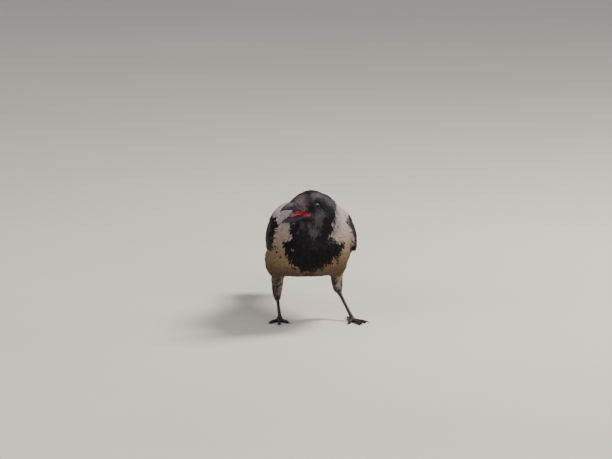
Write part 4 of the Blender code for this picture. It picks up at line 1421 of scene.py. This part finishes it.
# %% [markdown]
# ## The tail
# The shut tail shows twelve broad feathers, the middle pair on top and each next one lower and further
# out. They follow the tail's solid, which droops a little to both sides, so each is laid by its height
# over the middle line.

# %% Tail feathers
TAIL_FEATHERS = 6           # on each side
TAIL_LIFT = 1.5             # mm of the middle pair over the solid, less at the edges
TAIL_ROOTS = 12             # mm behind the solid's front end
TAIL_ROUND = 6              # mm by which the outermost feather is shorter than the middle one
TAIL_FAN = (7, 19)          # mm that it lies further out at its root, and further still at its tip
TAIL_HALF = 8.2             # mm, half width of a feather

tail_low, tail_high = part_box("tail")
tail_form = Surface(copy_of("tail_form", "tail"))
bpy.data.objects.remove(bpy.data.objects["tail_form"])
tail_backs = in_body(np.array([tail_low, tail_high]))[:, 1]


def tail_feather(side, order, below):
    """Corners of one tail feather: order 0 in the middle to 1 at the edge, on top or on the underside."""
    along, across = flight_vane.along, flight_vane.across
    tip = tail_backs[1] - 0.5 - TAIL_ROUND * order ** 2
    back = tail_backs[0] + TAIL_ROOTS + (tip - tail_backs[0] - TAIL_ROOTS) * along
    outward = side * (1.5 + order * (TAIL_FAN[0] + TAIL_FAN[1] * along ** 0.8))
    left = outward + across * TAIL_HALF * blade_width(along, 0.0)
    lift = TAIL_LIFT * (order * 0.6 if below else 1 - order) + 0.2 - 0.2 * across ** 2
    lift = lift + (-0.25 if below else 0.25) * across * side
    flat = np.stack([left, back, np.full(len(left), 60.0 if below else 200.0)], 1) * MM + np.array(ZERO)
    ray = Vector((0, 0, 1 if below else -1))
    level = np.array([(tail_form.tree.ray_cast(Vector(row), ray)[0] or (0, 0, np.nan))[2] for row in flat])
    known = ~np.isnan(level)
    level[~known] = np.interp(back[~known], np.sort(back[known]), level[known][np.argsort(back[known])])
    flat[:, 2] = level + (-0.7 if below else 1) * lift * MM
    return flat


for title, below in (("tail_feathers", False), ("tail_underside", True)):
    places = np.array([
        tail_feather(side, order, below)
        for order in np.linspace(1, 0, TAIL_FEATHERS) for side in (1, -1)
    ])
    lengths = 1 - 0.6 * flight_vane.across[flight_vane.teeth] ** 2 + np.zeros((len(places), 1))
    normal = np.array([0, 0, -1.0 if below else 1.0])
    flight_vane.break_tip(places, lengths, normal, VANE_THICKNESS)
    length = (tail_backs[1] - tail_backs[0]) * MM
    build_quills(title, places, length, 8 * MM, turned=not below)

# %% [markdown]
# ## The eyes
# A crow's eye is nearly black: a dark brown iris round a black pupil, under a wet cornea that throws back
# the sky as one sharp point. A ball with a slightly bulging cornea, cut in rings about the line of sight,
# takes all three.

# %% Eyes
IRIS_RADIUS = 4.2 * MM
PUPIL_EDGE = (0.46, 0.54)   # of the iris


def eye_finish():
    """A living eyeball: black pupil, dark brown iris, the cornea as a clear coat with the index of water."""
    material, tree, shader = new_finish("wet_eye")
    from_middle = add_node(tree, "ShaderNodeAttribute", attribute_name="from_pupil").outputs["Fac"]
    colour = add_node(tree, "ShaderNodeValToRGB", {"Fac": from_middle}, stops=[
        (0.0, "#020202"), (PUPIL_EDGE[0], "#030202"), (PUPIL_EDGE[1], "#170e0a"),
        (0.9, "#1c130f"), (1.0, "#080605"),
    ])
    feed(tree, shader, {
        "Base Color": colour.outputs["Color"], "Roughness": 0.4, "Specular IOR Level": 0.1,
        "Coat Weight": 0.45, "Coat Roughness": 0.02, "Coat IOR": 1.33,
    })
    return material


wet_eye = eye_finish()
for side, outward in eye_axes.items():
    bpy.ops.object.select_all(action="DESELECT")
    bpy.ops.mesh.primitive_uv_sphere_add(
        segments=64, ring_count=48, radius=EYE_RADIUS, location=eye_centres[side],
        rotation=outward.to_track_quat("Z", "Y").to_euler(),
    )
    eye = bpy.context.object
    eye.name = f"eyeball_{side}"
    bpy.ops.object.transform_apply(location=True, rotation=True, scale=True)
    bpy.ops.object.shade_smooth()
    surface = points_of(eye)
    offset = surface - np.array(eye_centres[side])
    reach = np.linalg.norm(np.cross(offset, np.array(outward)), axis=1)
    front = offset @ np.array(outward) > 0
    add_attributes(eye, from_pupil=np.where(front, reach / IRIS_RADIUS, 1.0))
    bulge = np.where(front, 0.25 * MM * (1 - smooth_step(reach, 0, IRIS_RADIUS)), 0)
    move_points(eye, surface + bulge[:, None] * np.array(outward))
    settle(eye, "eye", wet_eye, f"eye_{side}")

# %% [markdown]
# ## The bill
# The bill is bone under a sheath of horn, blue-black, worn smooth and faintly ringed by growth, with
# sharp edges. The solids have its outline. Copies are melted finer, the inside of each mandible is
# hollowed along its middle, and the horn gets its faint ridges.

# %% Bill
BILL_VOXEL = 0.45 * MM
BILL_HALVES = ([14, 30, 45, 55, 60], [8.2, 6.4, 3.6, 1.2, 0.2])     # mm ahead of the eyes, half width
HOLLOW = 1.3 * MM           # depth of the hollow inside each mandible
HOLLOW_END = 58             # mm ahead of the eyes, where it has run out


def horn_finish():
    """Bill horn: keratin grown in layers and polished by use, dark blue-grey, with a soft wide highlight."""
    material, tree, shader = new_finish("bill_horn")
    place = add_node(tree, "ShaderNodeTexCoord").outputs["Object"]
    turned = add_node(tree, "ShaderNodeMapping", {"Vector": place, "Scale": (1, 1, 3)}).outputs["Vector"]
    # Clouds 6 mm long, and growth lines 0.7 mm apart
    cloud = add_node(
        tree, "ShaderNodeTexNoise", {"Vector": turned, "Scale": 160.0, "Detail": 4.0},
    ).outputs["Fac"]
    fine = add_node(
        tree, "ShaderNodeTexNoise", {"Vector": turned, "Scale": 1400.0, "Detail": 2.0},
    ).outputs["Fac"]
    inside = add_node(tree, "ShaderNodeAttribute", attribute_name="lining").outputs["Fac"]
    horn = add_node(tree, "ShaderNodeValToRGB", {"Fac": cloud},
                    stops=[(0.25, "#17171d"), (0.55, "#262630"), (0.8, "#3a3944")]).outputs["Color"]
    colour = add_node(tree, "ShaderNodeMix", {"Factor": inside, "A": horn, "B": linear("#a23a4c")},
                      data_type="RGBA")
    rough = add_node(tree, "ShaderNodeMapRange", {"Value": cloud, "To Min": 0.40, "To Max": 0.56})
    relief = add_node(tree, "ShaderNodeBump", {"Height": fine, "Strength": 0.2, "Distance": 0.0001})
    feed(tree, shader, {
        "Base Color": colour.outputs["Result"], "Roughness": rough.outputs["Result"],
        "Normal": relief.outputs["Normal"], "Specular IOR Level": 0.35, "Specular Tint": linear("#c9cdf2"),
    })
    return material


bill_horn = horn_finish()
for title, node, inner_side in (("mandible_upper", "bill_upper", -1), ("mandible_lower", "bill_lower", 1)):
    bill = copy_of(title, node)
    refine(bill, BILL_VOXEL, 6)
    surface = points_of(bill)
    forward, left, up = in_head(surface).T
    normals = normals_of(bill)
    facing = (normals @ np.array(UPWARD)) * inner_side
    half_width = np.interp(forward, *BILL_HALVES)
    inner = smooth_step(facing, 0.2, 0.6) * (1 - smooth_step(np.abs(left) / half_width, 0.45, 0.8))
    depth = inner * HOLLOW * smooth_step(HOLLOW_END - forward, 2, 14)
    move_points(bill, surface - normals * depth[:, None])
    add_attributes(bill, lining=inner * (1 - smooth_step(forward, 24, 36)))
    bill.data.shade_smooth()
    settle(bill, "horn", bill_horn, node)

# %% [markdown]
# ## Bristles over the nostrils
# Stiff narrow feathers lie forward over the base of the bill and hide the nostrils. They are browner and
# duller than the crown. They are planted like the rest, but on their own small solid and pointing
# forward.

# %% Nasal bristles
BRISTLES_END = 33           # mm ahead of the eyes, the last roots
BRISTLES_FACE = 20          # and those that stand off the bristles' own solid
BRISTLE_SPACING = 0.72 * MM
BRISTLE_HALF = 0.42 * MM    # half of a bristle's width
BRISTLE_LENGTHS = ([10, 18, 30], [8.5, 10, 4.5])    # mm ahead of the eyes, and length there

bristle_vane = Vane(rows=5, columns=3, tip_start=0.75)
bristle_core = copy_of("bristle_core", "nasal_bristles")
core_surface = Surface(bristle_core)
finish_modifier(bristle_core, "DISPLACE", strength=-0.7 * MM, mid_level=0)
starts = nose_form.points[chance.permutation(len(nose_form.points))]
forward, left, up = in_head(starts).T
ragged = chance.normal(0, 0.8, len(starts)) - 2.5 * np.exp(-((up + 1) / 3.5) ** 2)
on_face = (forward > BRISTLES_START + ragged) & (forward < BRISTLES_FACE) & (up > BRISTLES_LOW - 0.5)
on_mat = (core_surface.distances(starts) < 1.0 * MM) & (forward < BRISTLES_END)
starts = starts[on_face | on_mat]
starts = starts[thin_out(starts, np.full(len(starts), BRISTLE_SPACING))]
count = len(starts)
length = chance.uniform(0.75, 1.1, count) * MM * np.interp(in_head(starts)[:, 0], *BRISTLE_LENGTHS)
spread = in_head(starts)[:, 1] / 12 + chance.normal(0, 0.35, count)
droop = chance.normal(-0.12, 0.12, count)
ahead = np.array(FORWARD) + spread[:, None] * 0.2 * np.array(LEFTWARD) + droop[:, None] * np.array(UPWARD)
places = np.empty((count, len(bristle_vane.along), 3))
outward = np.empty_like(places)
for level in np.unique(bristle_vane.along):
    corners = np.flatnonzero(bristle_vane.along == level)
    middle = starts + ahead * (length * level)[:, None]
    flat, normal = nose_form.nearest(middle)
    aside = np.cross(normal, ahead)
    width = BRISTLE_HALF * blade_width(level, 0.95)
    loose = 0.3 * level ** 2
    rest = flat * (1 - loose) + middle * loose + normal * (-0.3 + 0.9 * level) * MM
    places[:, corners] = rest[:, None] + aside[:, None] * (width * bristle_vane.across[corners])[:, None]
    outward[:, corners] = normal[:, None]
lengths = 1 - chance.uniform(0, 0.3, (count, 2))
bristle_vane.break_tip(places, lengths, outward[:, bristle_vane.under], 0.1 * MM)
paler = smooth_step(in_head(starts)[:, 0], BRISTLES_START - 1, BRISTLES_START + 6)
looks = {
    "hood": 1 - paler * chance.uniform(0.3, 0.9, count), "tone_and_sheen": chance.uniform(0.2, 0.8, count),
    "warmth": chance.uniform(0.05, 0.3, count),
}
patches = small_patches(starts, "head")
bristles = build_vanes("bristles", bristle_vane, places, length, BRISTLE_HALF, looks, patches)
settle(bristles, "black_plumage", soft_plumage)
bristle_core.data.shade_smooth()
add_attributes(bristle_core, hood=1.0, warmth=0.5, mouth=0.0, lid=0.0)
settle(bristle_core, "black_plumage", skin.data.materials[0], "nasal_bristles")

# %% [markdown]
# ## The tongue
# A crow's tongue is flat, firm and pointed, with a shallow groove. In a young bird it is red like the
# whole mouth, which is lined with wet skin.

# %% Tongue
FINE_VOXEL = 0.4 * MM
GROOVE = (0.9, 0.5 * MM)    # mm from its middle to its side, and its depth


def mouth_finish(name, deep, pale):
    """Wet lining of the mouth: mottled every 2.5 mm, with light soaking a millimetre in."""
    material, tree, shader = new_finish(name)
    place = add_node(tree, "ShaderNodeTexCoord").outputs["Object"]
    cloud = add_node(
        tree, "ShaderNodeTexNoise", {"Vector": place, "Scale": 400.0, "Detail": 3.0},
    ).outputs["Fac"]
    colour = add_node(tree, "ShaderNodeValToRGB", {"Fac": cloud}, stops=[(0.3, deep), (0.7, pale)])
    relief = add_node(tree, "ShaderNodeBump", {"Height": cloud, "Strength": 0.2, "Distance": 0.0002})
    feed(tree, shader, {
        "Base Color": colour.outputs["Color"], "Roughness": 0.25, "Normal": relief.outputs["Normal"],
        "Subsurface Weight": 0.15, "Subsurface Scale": 0.001,
    })
    return material


tongue = copy_of("tongue_fine", "tongue")
refine(tongue, FINE_VOXEL, 4)
surface = points_of(tongue)
groove = np.exp(-(in_head(surface)[:, 1] / GROOVE[0]) ** 2) * (normals_of(tongue) @ np.array(UPWARD) > 0.3)
move_points(tongue, surface - np.array(UPWARD) * (groove * GROOVE[1])[:, None])
tongue.data.shade_smooth()
lining_finish = mouth_finish("mouth_lining", "#a9304a", "#d9687f")
settle(tongue, "mouth", lining_finish, "tongue")

# %% [markdown]
# The lining is a grid bent like a jaw trap, from the palate back to the corner of the mouth and forward
# again over the floor. Its two long edges lie on the cheeks, found by looking in from both sides at the
# height of the gape.

# %% Lining of the mouth
PALATE_FRONT = 23           # mm ahead of the eyes
CHEEKS = 17                 # mm to each side, from where the edges are looked for
MOUTH_ROWS = 41
PALATE_HOLLOW = 0.8 * MM

# 1 at the front of the palate, 0 at the corner, -1 at the front of the floor
row = np.linspace(1, -1, MOUTH_ROWS)
edge_forward = GAPE_FORWARD + 0.2 + (PALATE_FRONT - GAPE_FORWARD) * np.abs(row) ** 1.6
edge_up = np.where(row > 0, *gape_heights(edge_forward))
edges = {}
for side, sign in (("left", 1), ("right", -1)):
    outside = np.array([head_place(f, sign * CHEEKS, u) for f, u in zip(edge_forward, edge_up)])
    edges[side] = coat_form.nearest(outside)[0]

bpy.ops.mesh.primitive_grid_add(x_subdivisions=16, y_subdivisions=MOUTH_ROWS - 1, size=2)
lining = bpy.context.object
lining.name = "mouth_lining"
flat = points_of(lining)
share = (flat[:, :1] * 0.96 + 1) / 2
order = np.rint((1 - flat[:, 1]) / 2 * (MOUTH_ROWS - 1)).astype(int)
hollow = np.sin(math.pi * share) * np.sign(row[order])[:, None] * PALATE_HOLLOW
bent = edges["right"][order] * (1 - share) + edges["left"][order] * share
move_points(lining, bent + hollow * np.array(UPWARD))
lining.data.shade_smooth()
settle(lining, "mouth", lining_finish)

# %% [markdown]
# Where the two jaws part, the skin makes a soft fleshy fold, thicker on the lower jaw. It is a curve
# along the edge of the lining with its own thickness at each point, made a mesh once it is laid.

# %% Gape
LOWER_LIP = 0.75            # mm by which the fold is thicker on the lower jaw

gape_skin = mouth_finish("gape_skin", "#1c1113", "#3f2529")
for side, sign in (("left", 1), ("right", -1)):
    curve = bpy.data.curves.new(f"gape_{side}", "CURVE")
    curve.dimensions = "3D"
    curve.bevel_depth = 1.0 * MM
    curve.bevel_resolution = 3
    curve.use_fill_caps = True
    spline = curve.splines.new("POLY")
    spline.points.add(MOUTH_ROWS - 1)
    thick = 0.15 + 0.25 * np.exp(-(edge_forward - GAPE_FORWARD) / 2.5)
    thick += (row < 0) * LOWER_LIP * smooth_step(edge_forward, GAPE_FORWARD, GAPE_FORWARD + 2)
    thick *= smooth_step(PALATE_FRONT - edge_forward, -0.5, 6)
    middle = edges[side] + np.array(UPWARD) * (np.sign(row) * thick * 0.8)[:, None] * MM
    middle -= np.array(LEFTWARD) * sign * 0.25 * MM
    spline.points.foreach_set("co", np.c_[middle, np.ones(MOUTH_ROWS)].ravel())
    spline.points.foreach_set("radius", thick)
    gape = bpy.data.objects.new(f"gape_{side}", curve)
    bpy.context.scene.collection.objects.link(gape)
    pick(gape)
    bpy.ops.object.convert(target="MESH")
    gape = bpy.context.object
    finish_modifier(gape, "WELD", merge_threshold=1e-5)
    gape.data.shade_smooth()
    settle(gape, "mouth", gape_skin)

# %% [markdown]
# ## Legs, feet and claws
# Below the knee a crow's leg is bare, in black horny scales: broad plates one below the other down the
# front of the shank and over each toe, each lapping over the next, small ones at the sides, and rough
# pads under the toes. The plates are pushed out of a fine copy of the solid, with a ramp and a step for
# every plate.

# %% Scales
SHANK_PLATE = 3.3           # mm from one plate to the next
TOE_PLATE = 2.3
PLATE_RISE = 0.28 * MM
SHANK_VOXEL = 0.35 * MM


def scale_finish():
    """Leg scales: thick dry keratin, black with a slate bloom on the raised plates, satin where rubbed."""
    material, tree, shader = new_finish("leg_scales")
    place = add_node(tree, "ShaderNodeTexCoord").outputs["Object"]
    # Pebbles 0.9 mm across, twice the real ones
    fine = add_node(tree, "ShaderNodeTexVoronoi", {"Vector": place, "Scale": 1100.0}).outputs["Distance"]
    plate = add_node(tree, "ShaderNodeAttribute", attribute_name="plate").outputs["Fac"]
    colour = add_node(tree, "ShaderNodeValToRGB", {"Fac": plate},
                      stops=[(0.0, "#0f0e11"), (0.5, "#232127"), (1.0, "#3e3b45")])
    relief = add_node(tree, "ShaderNodeBump", {"Height": fine, "Strength": 0.35, "Distance": 0.0002})
    feed(tree, shader, {
        "Base Color": colour.outputs["Color"], "Roughness": 0.42, "Normal": relief.outputs["Normal"],
    })
    return material


def saw(distance, spacing):
    """0 just after a plate's edge to 1 at the next edge."""
    return (distance / spacing) % 1.0


leg_scales = scale_finish()
print("plates every", SHANK_PLATE, "mm on the shank and", TOE_PLATE, "mm on the toes")

# %% [markdown]
# On the shank the plates run down the front from the knee. On the foot they run out along the toes from
# the foot of the shank, and the underside swells into pads where it is off the ground.

# %% Shanks and feet
for side in ("left", "right"):
    shank = copy_of(f"shank_scales_{side}", f"shank_{side}")
    refine(shank, SHANK_VOXEL, 5)
    surface, normals = points_of(shank), normals_of(shank)
    low = surface[surface[:, 2] < surface[:, 2].min() + 6 * MM].mean(0)
    high = surface[surface[:, 2] > surface[:, 2].max() - 6 * MM].mean(0)
    axis = (high - low) / np.linalg.norm(high - low)
    down = (high - surface) @ axis / MM
    front = smooth_step(-normals[:, 1], -0.2, 0.4)
    ramp = saw(down + 0.6 * np.abs(normals[:, 0]), SHANK_PLATE)
    move_points(shank, surface + normals * (ramp * PLATE_RISE * front)[:, None])
    add_attributes(shank, plate=0.25 + 0.6 * front * ramp)
    shank.data.shade_smooth()
    settle(shank, "leg_scales", leg_scales, f"shank_{side}")

    foot = copy_of(f"foot_scales_{side}", f"foot_{side}")
    refine(foot, FINE_VOXEL, 3)
    surface, normals = points_of(foot), normals_of(foot)
    out = np.linalg.norm((surface - low)[:, :2], axis=1) / MM
    above = smooth_step(normals[:, 2], 0.0, 0.6) * smooth_step(out, 3, 6)
    ramp = saw(out, TOE_PLATE)
    below = smooth_step(-normals[:, 2], 0.2, 0.8) * smooth_step(surface[:, 2] / MM, 0.25, 0.9)
    move_points(foot, surface + normals * ((ramp * above + 0.3 * below) * PLATE_RISE)[:, None])
    add_attributes(foot, plate=0.2 + 0.65 * above * ramp)
    foot.data.shade_smooth()
    settle(foot, "leg_scales", leg_scales, f"foot_{side}")

# %% [markdown]
# The claws are curved cones of the same dark horn as the bill, ground blunt by walking. Each is a
# subdivided copy of its solid, which rounds it.

# %% Claws
for side in ("left", "right"):
    for toe in ("inner", "middle", "outer", "hind"):
        claw = copy_of(f"claw_fine_{toe}_{side}", f"claw_{toe}_{side}")
        finish_modifier(claw, "SUBSURF", levels=2, render_levels=2)
        claw.data.shade_smooth()
        add_attributes(claw, lining=0.0)
        settle(claw, "horn", bill_horn, f"claw_{toe}_{side}")

# %% [markdown]
# ## Under the long feathers
# A shut wing and a shut tail are a thick packet of feathers. The top layers are modelled, and the packet
# below them is a copy of the solid, a little thinner and shorter, so that only the feathers' own tips
# show.

# %% Cores of wings and tail


def core_finish():
    """The closed mass of quills and down under the top feathers: dull black with long fine streaks."""
    material, tree, shader = new_finish("quill_core")
    place = add_node(tree, "ShaderNodeTexCoord").outputs["Object"]
    # Streaks 1.1 mm apart, drawn out twenty times as long
    drawn = add_node(tree, "ShaderNodeMapping", {"Vector": place, "Scale": (1, 0.05, 1)}).outputs["Vector"]
    streaks = add_node(
        tree, "ShaderNodeTexNoise", {"Vector": drawn, "Scale": 900.0, "Detail": 3.0},
    ).outputs["Fac"]
    colour = add_node(tree, "ShaderNodeValToRGB", {"Fac": streaks},
                      stops=[(0.3, "#0e0d11"), (0.7, "#1c1a1f")])
    relief = add_node(tree, "ShaderNodeBump", {"Height": streaks, "Strength": 0.3, "Distance": 0.0003})
    feed(tree, shader, {
        "Base Color": colour.outputs["Color"], "Roughness": 0.65, "Specular IOR Level": 0.12,
        "Normal": relief.outputs["Normal"],
    })
    return material


CORE_INSET = 0.35 * MM
CORE_SHORTER, CORE_TAPER = 7, 60    # mm by which it is shorter, and over which it is drawn in
CORE_SUNK = 1.3 * MM        # where the shoulder's feathers lie over it

quill_core = core_finish()
for name in ("wing_left", "wing_right", "tail"):
    core = copy_of(f"{name}_core", name)
    surface = points_of(core) - normals_of(core) * CORE_INSET
    if name != "tail":
        covered = 1 - smooth_step(past_wing_line(surface), -6, 2)
        surface -= (normals_of(core) * CORE_SUNK + np.array([0, 0, CORE_SUNK])) * covered[:, None]
    back = in_body(surface)[:, 1]
    surface[:, 1] -= CORE_SHORTER * MM * smooth_step(back, back.max() - CORE_TAPER, back.max())
    move_points(core, surface)
    core.data.shade_smooth()
    core.data.set_sharp_from_angle(angle=math.radians(40))
    settle(core, "black_plumage", quill_core, name)

# %% [markdown]
# ## Closing
# The triangles of every piece that is shown are counted and printed.

# %% Triangles shown
shown = [piece for piece in bpy.data.objects if piece.type == "MESH" and not piece.hide_render]
print("triangles shown:", sum(triangles_of(piece) for piece in shown))
